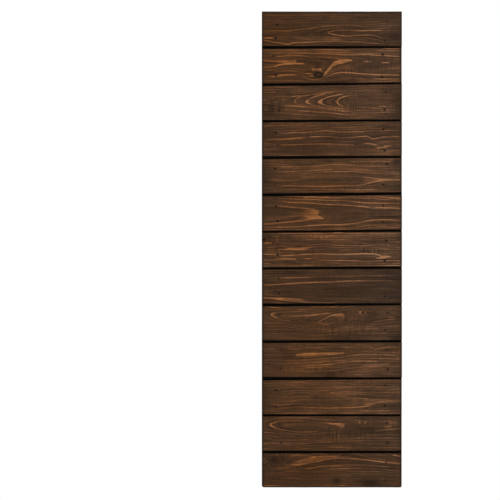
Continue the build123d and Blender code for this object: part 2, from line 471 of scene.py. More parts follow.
FIGURES["board_06"] = dict(
    gain=0.56, warmth=0.1, rise=1.35, tone=1.24,
    lines=[
        (13, 0.35, 0.8, [(38, 2.2), (80, 3.2)]),
        (12.8, 0.5, 0.8, [(90, 3.2), (104, 3.8), (112, 3.3), (116, 4.4), (132, 4.9)]),
        (11, 0.6, 0.9, [(14, 3.6), (40, 4.4), (60, 5.4), (85, 6.3), (100, 7.8), (113, 8.5), (143, 8.6)]),
        (None, 0.45, 0.8, [(9, 6.2), (18, 6.1)]),
        (8, 0.8, 1.0, [(16, 5.8), (30, 7.7), (47, 8.5), (60, 9.5), (80, 10.4), (100, 11.4), (109.5, 13.1),
            (121, 13.1), (144, 14.1)]),
        (4, 0.8, 1.1, [(10, 10.4), (17, 11.1), (30, 12.5), (40, 13.3), (50.4, 14.3), (56.5, 15.6),
            (57.5, 16.6)], "end"),
        (4, 0.8, 1.1, [(-4, 29.4), (10, 28.7), (30, 26.8), (46.6, 25.1), (55, 24.3),
            (62.5, 23.7)], "end"),
        (8, 0.75, 1.0, [(-4, 32.7), (10, 32.2), (30, 31.9), (52, 30.6), (66, 30), (80, 29.5), (90, 28.7),
            (100, 27.3), (111.4, 25.1), (117, 24.7), (136, 24.3)]),
        (12, 0.5, 0.85, [(-4, 34.8), (52, 34.4), (80, 33.5), (90, 33), (113, 30.7), (143, 30.8)]),
        (None, 0.5, 0.8, [(137.8, 15.2), (138.6, 19), (137.6, 23.4)], "both"),
        (None, 0.6, 0.7, [(110, 3.8), (113, 2.6)], "both"),
    ],
    guides=[
        (1.5, [(28, 19), (5, 20)]), (5.6, [(80, 19)]), (6.6, [(110, 19), (132, 19.4)]),
        (15, [(0, 0), (70, 0), (140, 0)]), (15, [(110, 34.7), (140, 34.7)]),
    ],
    fills=[
        (0.98, 14, 1.2, [(41, 15.2, 24.8), (47, 15.2, 24.6), (53, 15.6, 23.8), (56.8, 16.2, 19.6)]),
        (1.05, 5, 1.0, [(45, 20.4, 24.8), (55, 20.2, 24.4), (61, 23.0, 24.5)]),
    ],
    marks=[
        (-1, 16, 8, 18, 0.35), (110, 18.7, 3, 4, 0.35), (15, 10, 5, 1.5, 0.2), (107, 32.5, 10, 1.2, 0.25),
        (134, 6.5, 4, 4, 0.2),
    ],
    nails=[(14, 11.6, 0.8), (15.7, 26.3, 0.9), (121.4, 11.1, 0.65), (120.6, 27.3, 0.75)],
    calm=[(22, 19, 22, 6.5, 1.0), (82, 20, 30, 6.5, 1.0)],
    glows=[
        (18, 19, 22, 13, -0.09), (122, 18, 20, 14, 0.05), (20, 22, 20, 1.6, -0.08),
        (10, 17, 16, 8, -0.12), (28, 19, 12, 5, 0.06), (80, 17, 26, 5, -0.07), (114, 29, 26, 4, 0.1),
        (75, 31, 50, 4, 0.06),
    ],
    hues=[(48, 20, 12, 6, 0.5), (2, 18, 14, 14, -0.3), (125, 18, 24, 20, -0.1)],
)
FIGURES["board_07"] = dict(
    gain=0.81, warmth=-0.3, rise=0.85, tone=1.25,
    lines=[
        (None, 0.9, 1.0, [(108, 21.9), (113.5, 22.8), (119, 24.1), (124, 24.6)], "both"),
        (1.5, 0.8, 0.8, [(70, 1.1), (82, 1.1)]),
        (5, 0.5, 1.0, [(9, 4.9), (18, 4.9)]),
        (None, 0.3, 2.6, [(46, 5.2), (70, 5.2)]),
        (None, 0.22, 2.6, [(26, 4.5), (100, 4.5), (138, 4)]),
        (None, 0.4, 0.7, [(50, 3), (138, 2.8)]),
        (None, 0.35, 0.7, [(14, 1.6), (62, 1.5)]),
        (None, 0.4, 0.7, [(84, 1.4), (140, 1.4)]),
        (None, 0.35, 0.7, [(30, 6.3), (136, 6.1)]),
        (None, 0.3, 0.7, [(98, 11.8), (140, 11.7)]),
        (8, 0.45, 0.8, [(38, 7.8), (138, 7.6)]),
        (10, 0.4, 0.8, [(68, 10), (104, 10.3)]),
        (10, 0.8, 0.8, [(124, 10), (143, 10)]),
        (12, 0.4, 0.8, [(24, 12.1), (50, 12.2)]),
        (13.5, 0.5, 0.9, [(64, 12.2), (74, 13.5), (100, 14), (113, 13.3), (132, 13.6)]),
        (None, 0.85, 1.3, [(1.5, 11.3), (10, 11.5)], "both"),
        (16.5, 0.8, 1.0, [(22, 15.6), (33, 16.4), (47.5, 16.8)]),
        (17.5, 0.7, 1.0, [(14, 17.6), (30, 17.6), (43.5, 17.7)], "end"),
        (22.5, 0.4, 0.9, [(-3, 22.3), (12, 22.8)]),
        (22.8, 0.7, 0.9, [(16, 24.1), (37, 23), (49.5, 22.4), (60, 22.1), (80, 22.8), (92.3, 22.5),
            (100, 22), (113, 22.2), (118, 23.8)]),
        (None, 1.0, 1.5, [(79, 22.8), (92, 22.4), (100, 21.9), (114, 22.2)]),
        (26, 1.0, 1.4, [(111.5, 26.2), (121, 26), (129, 24.3)]),
        (28, 0.8, 1.3, [(-3, 27.8), (10, 28), (18, 27.4), (34, 27.3)], "end"),
        (27.5, 0.65, 0.9, [(40, 27), (51, 26.9)]),
        (29, 0.45, 0.9, [(51, 28.6), (89, 28.7), (102, 29.4)]),
        (31, 0.5, 0.8, [(30, 30.9), (64, 31)]),
        (None, 0.6, 0.8, [(64, 31), (80, 31)]),
        (32, 0.55, 0.8, [(-3, 31.9), (11, 31.8)]),
        (34, 0.6, 0.8, [(38, 33.9), (54, 33.8)]),
        (29, 0.5, 0.8, [(111, 29), (143, 29)]),
        (31.4, 0.6, 0.8, [(111, 31.4), (143, 31.4)]),
        (33.8, 0.6, 0.8, [(111, 33.7), (143, 33.8)]),
    ],
    guides=[
        (0, [(0, 0), (70, 0), (140, 0)]), (35, [(0, 34.7), (70, 34.7), (140, 34.7)]),
        (18, [(70, 18), (110, 18)]), (11, [(0, 11)]),
    ],
    fills=[
        (0.75, 6, 2, [(22, 17.0, 18.2), (31, 15.9, 18.4), (42, 16.0, 18.4), (47, 16.4, 17.5)]),
        (1.0, 2.5, 1.5, [(118, 23.7, 25.3), (121, 23.9, 26.0), (125, 24.1, 26.0), (129, 24.5, 25.3)]),
    ],
    marks=[
        (1.4, 8, 3.2, 2.1, 1.6), (5, 4.5, 6, 4, 0.55), (90, 26, 20, 1.6, 0.2), (132, 17, 5, 2, 0.25),
        (60, 18.5, 20, 2, 0.2), (14, 11.5, 5, 4, 0.25), (24, 29.6, 9, 0.8, 0.3),
    ],
    chatter=[(98, 119, 14, 23, 0.6), (48, 74, 1, 9, 0.3), (1, 20, 3, 30, 0.4)],
    nails=[(16, 12.3, 0.5), (15.7, 23.3, 0.7), (124.2, 8.7, 0.9), (122.8, 28.7, 0.9)],
    glows=[
        (60, 16, 26, 12, -0.06), (66, 5, 26, 4, 0.12), (78, 15, 26, 4, -0.1), (112, 23, 26, 5, 0.1),
        (2, 10, 8, 20, -0.1),
    ],
    hues=[(6, 11, 12, 6, 0.9), (30, 18, 22, 8, 0.7), (125, 14, 26, 24, -0.3)],
)
FIGURES["board_08"] = dict(
    gain=0.95, warmth=-0.3, rise=0.65, tone=1.0,
    lines=[
        (None, 1.0, 1.4, [(1.2, 29.1), (12, 29.7), (24, 30.3)], "start"),
        (13, 0.3, 1.0, [(14, 10), (40, 9.1), (66, 8.1), (85, 8.3), (100, 7.2), (132, 7.4)]),
        (8, 0.85, 1.15, [(-4, 16.6), (17, 16.2), (30, 15.1), (52, 14.1), (73, 13.4), (90, 12.7),
            (113, 12.1), (126, 12.4), (134, 13.4)]),
        (7, 0.3, 1.0, [(-4, 18), (18, 17.6)]),
        (6, 0.75, 1.3, [(-4, 29.1), (10, 29.7), (21, 29.5), (30, 30), (44, 31)]),
        (7, 0.85, 1.0, [(8, 30.6), (22, 31.8), (37, 32.7), (49.5, 33.8), (76, 34.2)]),
    ],
    guides=[
        (3, [(20, 23)]), (1.5, [(60, 23)]), (1, [(100, 23), (135, 22)]),
        (21, [(0, 0), (70, 0), (140, 0)]), (9.5, [(0, 34.7)]), (6, [(110, 34.7), (140, 34.7)]),
    ],
    fills=[
        (0.9, 1, 5, [(1.2, 28.4, 29.9), (10, 28.8, 30.5), (22, 29.3, 31.2)]),
        (0.55, 1, 8, [(1.2, 28.4, 30.0), (12, 29.0, 31.0), (24, 29.7, 32.0), (36, 30.9, 32.9),
            (48, 32.6, 33.9)]),
    ],
    marks=[
        (126, 3.4, 8, 3, 0.3), (60, 5, 30, 2.5, 0.15), (110, 22, 40, 10, 0.2), (6, 33, 10, 1.5, 0.35),
        (137, 18, 4, 16, 0.3), (80, 28.5, 22, 0.8, 0.2),
    ],
    nails=[(16.5, 10, 0.4), (17.4, 24.6, 0.85), (124.5, 8.4, 0.45), (122.8, 27.8, 0.75)],
    calm=[(70, 23, 60, 6, 0.9), (96, 5.2, 26, 2, 0.8)],
    glows=[
        (115, 20, 26, 12, -0.05), (136, 18, 14, 30, -0.16), (50, 3, 40, 6, 0.05), (3, 34, 12, 2.2, -0.2),
        (96, 5.2, 26, 2, -0.1), (30, 30.5, 8, 1.6, -0.08),
    ],
    hues=[(10, 29, 24, 6, 0.5), (130, 18, 20, 30, -0.7)],
)
FIGURES["board_09"] = dict(
    gain=0.88, warmth=0.0, rise=1.6, tone=1.14,
    lines=[
        (None, 0.3, 0.8, [(90, 28.4), (140, 28.2)]),
        (None, 0.3, 0.8, [(10, 28.6), (56, 28.8)]),
        (None, 0.3, 0.8, [(-3, 24.6), (40, 24.8)]),
        (8, 0.42, 1.0, [(50, 5.6), (30, 7), (17.6, 7.8), (9.3, 8.8), (11.9, 11.1), (15.2, 12.9),
            (22, 14.8), (32, 16.4)]),
        (6, 0.62, 1.0, [(24, 11.6), (37, 11.1), (46.6, 10.7), (52.3, 9.9), (64, 8.4), (72, 8)]),
        (3, 0.85, 1.1, [(68, 20), (60, 18.4), (56.2, 16.8), (61, 14.5), (65.7, 12.2), (71.4, 9.8),
            (80, 8.7), (83, 10), (83, 13)]),
        (None, 0.9, 1.2, [(54, 17.2), (56.5, 16.6), (62, 13.9)]),
        (None, 0.65, 1.1, [(55, 17), (61, 18.8), (69, 20.2)]),
        (None, 0.9, 1.5, [(17, 7.9), (9.6, 9), (12, 11.2), (19, 13.9)]),
        (None, 0.5, 1.7, [(68, 10.6), (77, 9.8), (81.6, 11), (81.4, 13)]),
        (11, 0.15, 0.9, [(-3, 17.8), (9.5, 18.2), (26, 18.4)]),
        (12, 0.4, 0.8, [(32, 4.4), (54, 4.4)]),
        (None, 0.3, 0.8, [(48, 2), (78, 2.2)]),
        (9, 0.35, 1.0, [(108, 18), (124, 15), (143, 12.8)]),
        (14, 0.4, 0.8, [(119, 21.5), (143, 21.3)]),
        (17, 0.4, 0.8, [(88, 24.5), (110, 24.4)]),
        (18, 0.35, 0.8, [(119, 25.8), (143, 25.6)]),
        (None, 1.05, 2.6, [(97, 7.2), (99.5, 7.2)], "both"),
        (None, 1.05, 2.4, [(102.5, 7.8), (104.5, 7.8)], "both"),
        (None, 0.3, 1.0, [(96, 9.6), (104, 10)]),
        (None, 0.4, 1.4, [(124, 11.8), (134, 12.4)]),
    ],
    guides=[
        (1.5, [(75, 14)]), (4, [(98, 12)]), (15, [(10, 0), (70, 0)]), (11, [(120, 0), (140, 0)]),
        (26, [(0, 34.7), (50, 34.7), (100, 34.7), (140, 34.7)]), (9, [(-4, 9)]), (6, [(125, 12)]),
    ],
    marks=[
        (17.6, 10, 4, 1.8, 0.25), (137, 32.5, 9, 4, 0.45), (99, 1.2, 10, 1.5, 0.35), (70, 22, 6, 6, 0.1),
        (106, 11, 8, 5, 0.18), (137, 17, 4, 5, 0.3), (75, 19, 1.5, 8, 0.2),
    ],
    chatter=[(58, 81, 12, 34, 0.36), (82, 107, 8, 34, 0.36)],
    nails=[(17.6, 9.8, 0.35), (17, 26.3, 0.25), (125.7, 7.8, 0.5), (122.8, 25, 0.45)],
    calm=[(71, 14, 10, 4.5, 1.0), (25, 22, 24, 4, 0.6), (50, 14, 12, 3, 0.8), (100, 13, 16, 6, 0.8)],
    glows=[
        (18, 16, 20, 14, -0.07), (112, 22, 22, 8, 0.05), (110, 27, 12, 3, 0.09), (137, 31, 10, 6, -0.2),
        (45, 9, 40, 6, 0.08), (108, 12, 14, 8, -0.07), (75, 32, 20, 6, 0.03),
    ],
    hues=[(134, 24, 16, 16, -0.3)],
)
FIGURES["board_10"] = dict(
    gain=0.68, warmth=0.0, rise=1.3, tone=1.2,
    lines=[
        (12, 0.6, 1.0, [(37, 11), (50, 10.6), (62, 11), (74, 11.2), (83, 10.9)]),
        (2.5, 0.4, 0.8, [(38, 2.3), (56, 2.5), (80, 2.6), (122, 3.2)]),
        (5, 0.45, 0.8, [(16, 4.9), (30, 4.8), (52, 5.7), (66, 5.8)]),
        (None, 0.4, 0.9, [(26, 7.2), (40, 7.4)]),
        (None, 0.5, 0.8, [(18, 4.8), (60, 5.0), (106, 4.7)]),
        (5.4, 0.65, 0.9, [(78, 4.9), (107, 5.0), (110.4, 6.1), (114.2, 7.1), (121, 5.9), (133, 4.6)]),
        (18, 0.55, 1.0, [(-3, 18.5), (10, 18.3), (30, 18.9), (52, 17.4), (66, 16.3), (80, 15.2),
            (90, 13.4), (104, 12.5), (120, 12.8), (136, 13.6)]),
        (21.5, 0.5, 1.0, [(9, 21.8), (30, 21.4), (52, 20.7), (66, 19.3), (80, 18.4), (94, 17.1),
            (123, 16.6), (143, 17)]),
        (24.5, 0.28, 1.0, [(14, 24.8), (40, 24.2), (52, 23.3), (66, 22.3), (80, 20.4), (94, 18.9),
            (132, 19.2)]),
        (26, 0.22, 1.0, [(40, 26), (66, 24.4), (80, 22.6), (104, 20.8), (132, 21)]),
        (30, 0.35, 1.6, [(64, 29.8), (85, 27.4), (106, 25.6), (122, 24.6)]),
        (31.5, 0.3, 1.0, [(80, 30.4), (100, 28.8), (124, 27)]),
        (None, 0.3, 2.6, [(96, 24), (112, 23), (130, 22.4)]),
        (None, 0.55, 1.1, [(137.6, 7.8), (137.8, 11.4)], "both"),
    ],
    guides=[
        (0, [(0, 0), (70, 0), (140, 0)]), (35, [(0, 34.7), (70, 34.7), (140, 34.7)]), (12, [(5, 12)]),
        (13, [(110, 10)]),
    ],
    fills=[
        (0.82, 1.2, 3, [(34, 12.0, 14.4), (38, 11.1, 14.3), (48, 10.6, 13.8), (60, 10.3, 13.4),
            (72, 10.3, 12.9), (78, 10.2, 12.0), (83, 10.3, 11.3)]),
    ],
    marks=[
        (69, 32.3, 5, 2, 0.5), (118, 32.3, 9, 2.5, 0.4), (-1, 12, 8, 10, 0.25), (42, 2, 1.6, 6, 0.3),
        (20, 8, 5, 2.5, 0.3), (133, 2.5, 9, 1.3, 0.45), (125, 7.5, 5, 2, 0.3), (14, 27, 8, 2, 0.2),
        (135, 31, 6, 4, 0.25),
    ],
    chatter=[(22, 38, 26, 34, 0.5), (48, 68, 24, 34, 0.5), (84, 100, 20, 32, 0.3)],
    nails=[(19, 8, 0.45), (18.5, 26.6, 0.65), (125.2, 7.8, 0.6), (125.9, 27.6, 0.9)],
    calm=[(45, 24.5, 32, 2.6, 0.7), (24, 34.2, 44, 1.8, 1.0), (116, 33.2, 30, 1.3, 0.8)],
    glows=[
        (16, 17, 22, 14, -0.11), (102, 26, 26, 6, 0.1), (48, 29, 18, 5, 0.06), (67, 32, 8, 4, -0.12),
        (124, 32, 14, 5, -0.1), (4, 12, 9, 16, -0.1), (45, 20, 26, 8, 0.05), (26, 34.6, 40, 1.6, -0.14),
        (98, 28, 20, 3, 0.08), (118, 33.4, 30, 1.6, -0.08),
    ],
    hues=[(52, 12.5, 30, 5, 0.3), (40, 24, 30, 10, 0.4), (128, 26, 20, 12, -0.2), (138, 9, 6, 6, 0.7)],
)
FIGURES["board_11"] = dict(
    gain=0.53, warmth=0.0, rise=0.35, tone=1.31,
    lines=[
        (19.5, 0.45, 0.8, [(56, 1.5), (143, 1.5)]),
        (17.5, 0.3, 0.8, [(-3, 4.4), (11, 4.4)]),
        (16.5, 0.35, 0.8, [(60, 4.4), (120, 4.2)]),
        (13, 0.4, 0.9, [(28, 8.4), (48, 8.6), (53, 9.2), (80, 8), (118, 7.5), (122, 8.2), (143, 6.3)]),
        (None, 0.4, 0.8, [(110, 7.6), (121.8, 8.3), (143, 6.2)]),
        (9.5, 0.4, 0.9, [(15, 14.4), (40, 13.6), (60, 11.4), (72, 10.6)]),
        (8.5, 0.4, 0.9, [(64, 13.8), (80, 12.4), (100, 12.8), (143, 13.5)]),
        (6.5, 0.35, 0.9, [(78, 14.9), (100, 15), (113, 16), (132, 16.6)]),
        (3, 0.6, 1.0, [(78, 18.5), (100, 19.5), (113, 20.6), (122, 21), (144, 21.6)]),
        (3, 0.8, 1.0, [(14, 29.2), (30, 27.9), (40, 27.6), (56, 28.6), (80, 28.4), (90, 28.4),
            (104, 27.2), (111.4, 25.2), (121, 23.5), (144, 22.4)]),
        (1, 0.45, 1.3, [(-3, 21.3), (18, 22.3), (41, 21.7)]),
        (1.2, 0.3, 1.2, [(40, 21.6), (70, 21.4)]),
        (2, 0.25, 1.2, [(9, 25.2), (32, 25.2)]),
        (6.5, 0.55, 0.9, [(98, 32), (132, 31.4)]),
        (6.8, 0.35, 0.9, [(34, 32), (82, 32)]),
    ],
    guides=[
        (0, [(52, 24), (80, 23.5)]), (21, [(0, 0), (70, 0), (140, 0)]),
        (9.5, [(0, 34.7), (70, 34.7), (140, 34.7)]), (3.5, [(-4, 28.5), (-4, 18)]), (2.6, [(100, 23)]),
    ],
    fills=[
        (0.75, 8, 2, [(102, 25.4, 27.0), (110, 23.4, 25.8), (118, 22.0, 24.0), (126, 21.5, 22.9),
            (143, 21.4, 22.8)]),
        (0.34, 14, 2, [(99, 20.4, 27.0), (106, 20.2, 26.0), (114, 20.8, 24.8), (122, 21.2, 23.2)]),
    ],
    marks=[
        (-2, 18, 9, 20, 0.35), (53.3, 18.4, 4, 1.6, 0.5), (134, 28, 8, 4, 0.3), (62, 6.8, 8, 1, 0.2),
        (30, 29.8, 14, 0.8, 0.2),
    ],
    nails=[(13.8, 11, 0.9), (14, 27, 0.4), (122.6, 6.2, 0.45), (122.6, 26.7, 0.9)],
    calm=[(8, 6.5, 14, 1.6, 0.8), (66, 24, 42, 4.2, 1.0), (14, 18, 14, 5, 0.6)],
    glows=[
        (18, 16, 20, 14, -0.05), (32, 3, 9, 1.8, -0.14), (-1, 17, 9, 30, -0.14), (75, 12, 50, 8, 0.05),
        (138, 24, 12, 10, -0.08), (60, 28, 30, 4, 0.05),
    ],
    hues=[(138, 16, 14, 24, -0.5), (45, 28, 40, 5, 0.2)],
)
FIGURES["board_12"] = dict(
    gain=0.92, warmth=0.0, rise=0.6, tone=1.12,
    lines=[
        (None, 0.3, 0.8, [(-3, 27.6), (58, 27.8)]),
        (None, 0.3, 0.8, [(6, 24.4), (62, 24.2)]),
        (4, 0.42, 0.9, [(60, 15.3), (46.6, 16.1), (32, 15.9), (23.8, 14.5), (16, 13), (11.4, 11),
            (8.4, 8.6), (13.3, 6.4), (20, 5.2), (30, 4.9), (46.6, 5.4), (60, 6.8), (71.4, 7.8), (80, 8),
            (82.2, 9.6), (81.6, 12), (77, 13.4)]),
        (None, 0.85, 1.25, [(30, 15.6), (23.8, 14.5), (16, 13), (11.4, 11), (8.4, 8.6), (13.3, 6.6),
            (18, 5.6)]),
        (None, 0.6, 1.0, [(58, 6.5), (71.4, 7.8), (80, 8.2), (82, 10), (81, 12)]),
        (9, 0.5, 0.9, [(-3, 16.6), (7.6, 16.9), (18, 18.3)]),
        (11, 0.35, 0.9, [(-3, 19.1), (10, 20), (20, 22)]),
        (8, 0.88, 1.05, [(112, 15.1), (126, 13.7), (144, 12.4)]),
        (None, 0.55, 2.4, [(121, 11.6), (131, 10.6)]),
        (12, 0.4, 0.8, [(100, 19.2), (143, 18.8)]),
        (15, 0.25, 0.8, [(88, 22), (132, 22)]),
        (17.5, 0.15, 0.8, [(88, 24.7), (143, 24.7)]),
        (20.5, 0.45, 0.8, [(98, 27.9), (143, 28)]),
        (23.5, 0.35, 0.8, [(60, 31), (120, 31)]),
        (None, 0.85, 2.7, [(96.6, 6.4), (98.8, 6.8)], "both"),
        (None, 0.85, 2.4, [(102.2, 6.6), (104.4, 7)], "both"),
    ],
    guides=[
        (1, [(30, 10.5), (60, 11)]), (9, [(0, 0), (70, 0), (140, 0)]),
        (27, [(0, 34.7), (50, 34.7), (100, 34.7), (140, 34.7)]), (6.5, [(98, 12)]), (6, [(0, 9)]),
        (6, [(125, 7)]), (15, [(10, 26), (50, 25)]),
    ],
    fills=[(0.72, 5, 1, [(66, 7.3, 8.4), (74, 7.4, 9.6), (79, 7.6, 11.6), (82.6, 8.4, 11.4)])],
    marks=[
        (67.4, 18, 0.8, 7, 0.35), (71, 20, 0.8, 7, 0.3), (74.2, 19, 0.8, 7, 0.35), (100, 3, 5, 2.2, 0.5),
        (53, 12.5, 14, 1.5, 0.25), (110, 10, 16, 5, 0.2), (137, 17, 4, 8, 0.2), (118, 3, 8, 3, 0.2),
        (16, 9.5, 4, 1.5, 0.3), (125.2, 26.9, 3.5, 2.4, 0.5), (105, 17, 18, 1.2, 0.2),
    ],
    chatter=[(64, 80, 8, 28, 0.7), (84, 112, 6, 30, 0.4)],
    nails=[(17.5, 8.4, 0.35), (19.5, 26.9, 0.4), (124.7, 7, 0.7), (125.2, 26.9, 0.8)],
    calm=[(115, 24.7, 34, 1.7, 0.9), (44, 10.6, 30, 4.4, 1.0), (92, 13, 16, 6, 0.9)],
    glows=[
        (18, 21, 22, 11, -0.07), (112, 6, 12, 6, -0.1), (137, 18, 5, 20, -0.08), (74, 10, 12, 4, 0.06),
        (20, 7, 16, 4, 0.05),
    ],
    hues=[(20, 8, 20, 6, 0.3), (134, 22, 16, 16, -0.2), (60, 28, 20, 8, 0.3)],
)
FIGURES["board_13"] = dict(
    gain=1.0, warmth=0.2, rise=0.05, tone=1.04,
    lines=[
        (6, 0.85, 1.2, [(26, 13), (34, 12.4), (40, 11.8), (49.5, 10), (60, 7.7), (70.4, 5.9), (80, 5.6),
            (90, 6), (100, 6.8), (113, 8.1), (128, 9.8), (144, 11.6)]),
        (4.5, 0.12, 1.3, [(40, 1.6), (60, 2.6), (79, 1.4)]),
        (None, 0.5, 1.2, [(70, 4.2), (82, 4.3), (92, 5)]),
        (12, 0.62, 1.1, [(39, 16.8), (49.5, 15.2), (60, 13.6), (70, 13), (80, 12.5), (90, 12.2),
            (113, 13.1), (132, 14.2)]),
        (15.5, 0.5, 0.9, [(64, 16.2), (90, 15.7), (109.5, 16.1), (143, 18.4)]),
        (17, 0.3, 1.2, [(20, 18.6), (42, 18.6)]),
        (14, 0.35, 1.2, [(8, 16.2), (22, 14.8), (32, 13.2)]),
        (24, 0.25, 1.6, [(24, 25), (42, 26)]),
        (None, 0.8, 1.5, [(129.5, 2.4), (136, 3.2), (143, 4.6)]),
        (32, 0.35, 0.8, [(-3, 32.8), (104, 32.8)]),
        (None, 0.5, 0.8, [(114, 24.6), (124, 25.6)]),
        (None, 0.4, 0.8, [(118, 27), (128, 27.4)]),
        (None, 0.5, 0.9, [(-1, 11), (4.5, 9.4), (3.5, 5)]),
        (None, 0.4, 0.9, [(6, 2.6), (18, 1.8)]),
    ],
    guides=[
        (3, [(75, 1.5)]), (2, [(110, 1)]), (4, [(30, 3)]), (14, [(12, 7.4)]), (8, [(21, 6)]),
        (33.5, [(0, 34.7), (70, 34.7), (140, 34.7)]), (18, [(2, 20)]), (20, [(90, 21)]),
        (20.5, [(130, 23)]),
    ],
    fills=[
        (0.5, 14, 10, [(28, 11.2, 13.4), (38, 7, 12.2), (48, 4.2, 10.6), (60, 3.0, 8.0), (72, 2.8, 6.0),
            (82, 3.4, 5.4)]),
    ],
    marks=[
        (11.8, 7.2, 5.2, 3.2, 1.1), (20.5, 6, 2.4, 3.2, 0.85), (16, 10.6, 6, 1, 0.5),
        (74.7, 28.5, 3.4, 3, 0.8), (108.5, 30.4, 9, 3.2, 0.9), (25, 8.5, 6, 4, 0.45),
        (137, 6.8, 5, 1.2, 0.4), (121, 26, 8, 3.5, 0.2), (66, 9.8, 8, 1.3, 0.2), (100, 25.5, 14, 1, 0.2),
    ],
    nails=[(17, 8, 0.5), (17, 25.4, 0.25), (124, 9.4, 0.3), (123.5, 27.4, 0.6)],
    calm=[(52, 6, 26, 4, 1.0), (40, 24, 34, 6, 0.7), (105, 3, 16, 3, 0.7)],
    glows=[
        (58, 7, 28, 4, 0.1), (8, 18, 12, 18, -0.1), (75, 28, 6, 5, -0.14), (110, 29, 12, 5, -0.1),
        (50, 22, 26, 7, 0.03),
    ],
    hues=[(45, 24, 40, 12, 0.7), (58, 6, 24, 5, 0.5), (136, 20, 16, 20, 0.1), (2, 12, 10, 20, -0.3)],
)


# Fields of the figure


def smoothstep(x):
    x = np.clip(x, 0, 1)
    return x * x * (3 - 2 * x)


def value_noise(x, y, kind, seed):
    """Smooth noise from -1 to 1; the kind gives the first seed and the size of the cells."""
    first_seed, cell_x, cell_y = kind
    size = NOISE_TABLE
    table = np.random.default_rng(first_seed + seed).uniform(-1, 1, (size, size))
    x = x / cell_x + NOISE_START[0]
    y = y / cell_y + NOISE_START[1]
    i = np.floor(x).astype(int)
    j = np.floor(y).astype(int)
    fx = smoothstep(x - i)
    fy = smoothstep(y - j)
    low = table[i % size, j % size] * (1 - fx) + table[(i + 1) % size, j % size] * fx
    j = j + 1
    high = table[i % size, j % size] * (1 - fx) + table[(i + 1) % size, j % size] * fx
    return low * (1 - fy) + high * fy


def smooth_path(points):
    """A Catmull-Rom curve through the points, as a dense polyline."""
    p = np.asarray(points, float)
    if len(p) < 3:
        return p
    ends = np.vstack([2 * p[0] - p[1], p, 2 * p[-1] - p[-2]])
    t = np.linspace(0, 1, PATH_STEPS, endpoint=False)[:, None]
    spans = []
    for a, b, c, d in zip(ends, ends[1:], ends[2:], ends[3:]):
        cubic = (3 * b - a - 3 * c + d) * t**3
        square = (2 * a - 5 * b + 4 * c - d) * t**2
        spans.append(0.5 * (2 * b + (c - a) * t + square + cubic))
    return np.vstack(spans + [p[-1:]])


def near_path(path, u, v):
    """Distance to the path, how far along it the nearest point lies, and the path's length."""
    best = np.full(u.shape, np.inf)
    along = np.zeros(u.shape)
    done = 0.0
    for a, b in zip(path, path[1:]):
        step = b - a
        length = np.hypot(step[0], step[1])
        t = np.clip(((u - a[0]) * step[0] + (v - a[1]) * step[1]) / length**2, 0, 1)
        d = np.hypot(u - a[0] - t * step[0], v - a[1] - t * step[1])
        closer = d < best
        best = np.where(closer, d, best)
        along = np.where(closer, done + t * length, along)
        done += length
    return best, along, done


def latewood_line(points, width, blunt, u, v):
    """1 along a line and 0 beside it, and a wider halo round it.

    Both thin out over the line's last stretch, except at a blunt end.
    """
    core = np.zeros(u.shape)
    halo = np.zeros(u.shape)
    path = smooth_path(points)
    low = path.min(axis=0) - 2 * width - HALO_REACH
    high = path.max(axis=0) + 2 * width + HALO_REACH
    close = (u > low[0]) & (u < high[0]) & (v > low[1]) & (v < high[1])
    if not close.any():
        return core, halo
    d, along, total = near_path(path, u[close], v[close])
    fade = min(LINE_FADE, LONGEST_FADE * total)
    start = BLUNT_FADE if blunt in ("start", "both") else fade
    end = BLUNT_FADE if blunt in ("end", "both") else fade
    taper = smoothstep(along / start) * smoothstep((total - along) / end)
    core[close] = taper * (1 - smoothstep((d / width - CORE_FLAT) / CORE_SLOPE))
    halo[close] = taper * (1 - smoothstep((d - width) / HALO_REACH))
    return core, halo


def thin_plate(points, levels, u, v):
    """The smooth surface through points of known level; distances along the grain count less."""
    squeeze = np.array([GRAIN_SQUEEZE, 1.0])
    p = np.asarray(points, float) * squeeze

    def kernel(du, dv):
        r2 = du**2 + dv**2
        return r2 * np.log(r2 + 1e-6)

    n = len(p)
    system = np.zeros((n + 3, n + 3))
    system[:n, :n] = kernel(p[:, None, 0] - p[None, :, 0], p[:, None, 1] - p[None, :, 1])
    system[:n, :n] += PLATE_SLACK * n * np.eye(n)
    system[:n, n] = 1
    system[n, :n] = 1
    system[:n, n + 1 :] = p
    system[n + 1 :, :n] = p.T
    weights = np.linalg.solve(system, np.append(levels, [0, 0, 0]))
    out = weights[n] + weights[n + 1] * u * squeeze[0] + weights[n + 2] * v
    for weight, (pu, pv) in zip(weights, p):
        out = out + weight * kernel(u * squeeze[0] - pu, v - pv)
    return out


def ring_levels(figure, u, v):
    """Level of the year rings, from every line and guide that has one."""
    points = []
    levels = []
    placed = [(item[0], item[3]) for item in figure["lines"] if item[0] is not None]
    for level, places in placed + figure["guides"]:
        points += places
        levels += [level] * len(places)
    return thin_plate(points, levels, u, v)


def bright_fill(edges, start_fade, end_fade, u, v):
    """1 inside a patch whose upper and lower edges are given along the board, and 0 outside."""
    at, top, bottom = np.array(edges, float).T
    upper = smoothstep((v - np.interp(u, at, top)) / FILL_EDGE + 0.5)
    lower = smoothstep((np.interp(u, at, bottom) - v) / FILL_EDGE + 0.5)
    inside = upper * lower * smoothstep((u - at[0]) / start_fade + 0.5)
    return inside * smoothstep((at[-1] - u) / end_fade + 0.5)


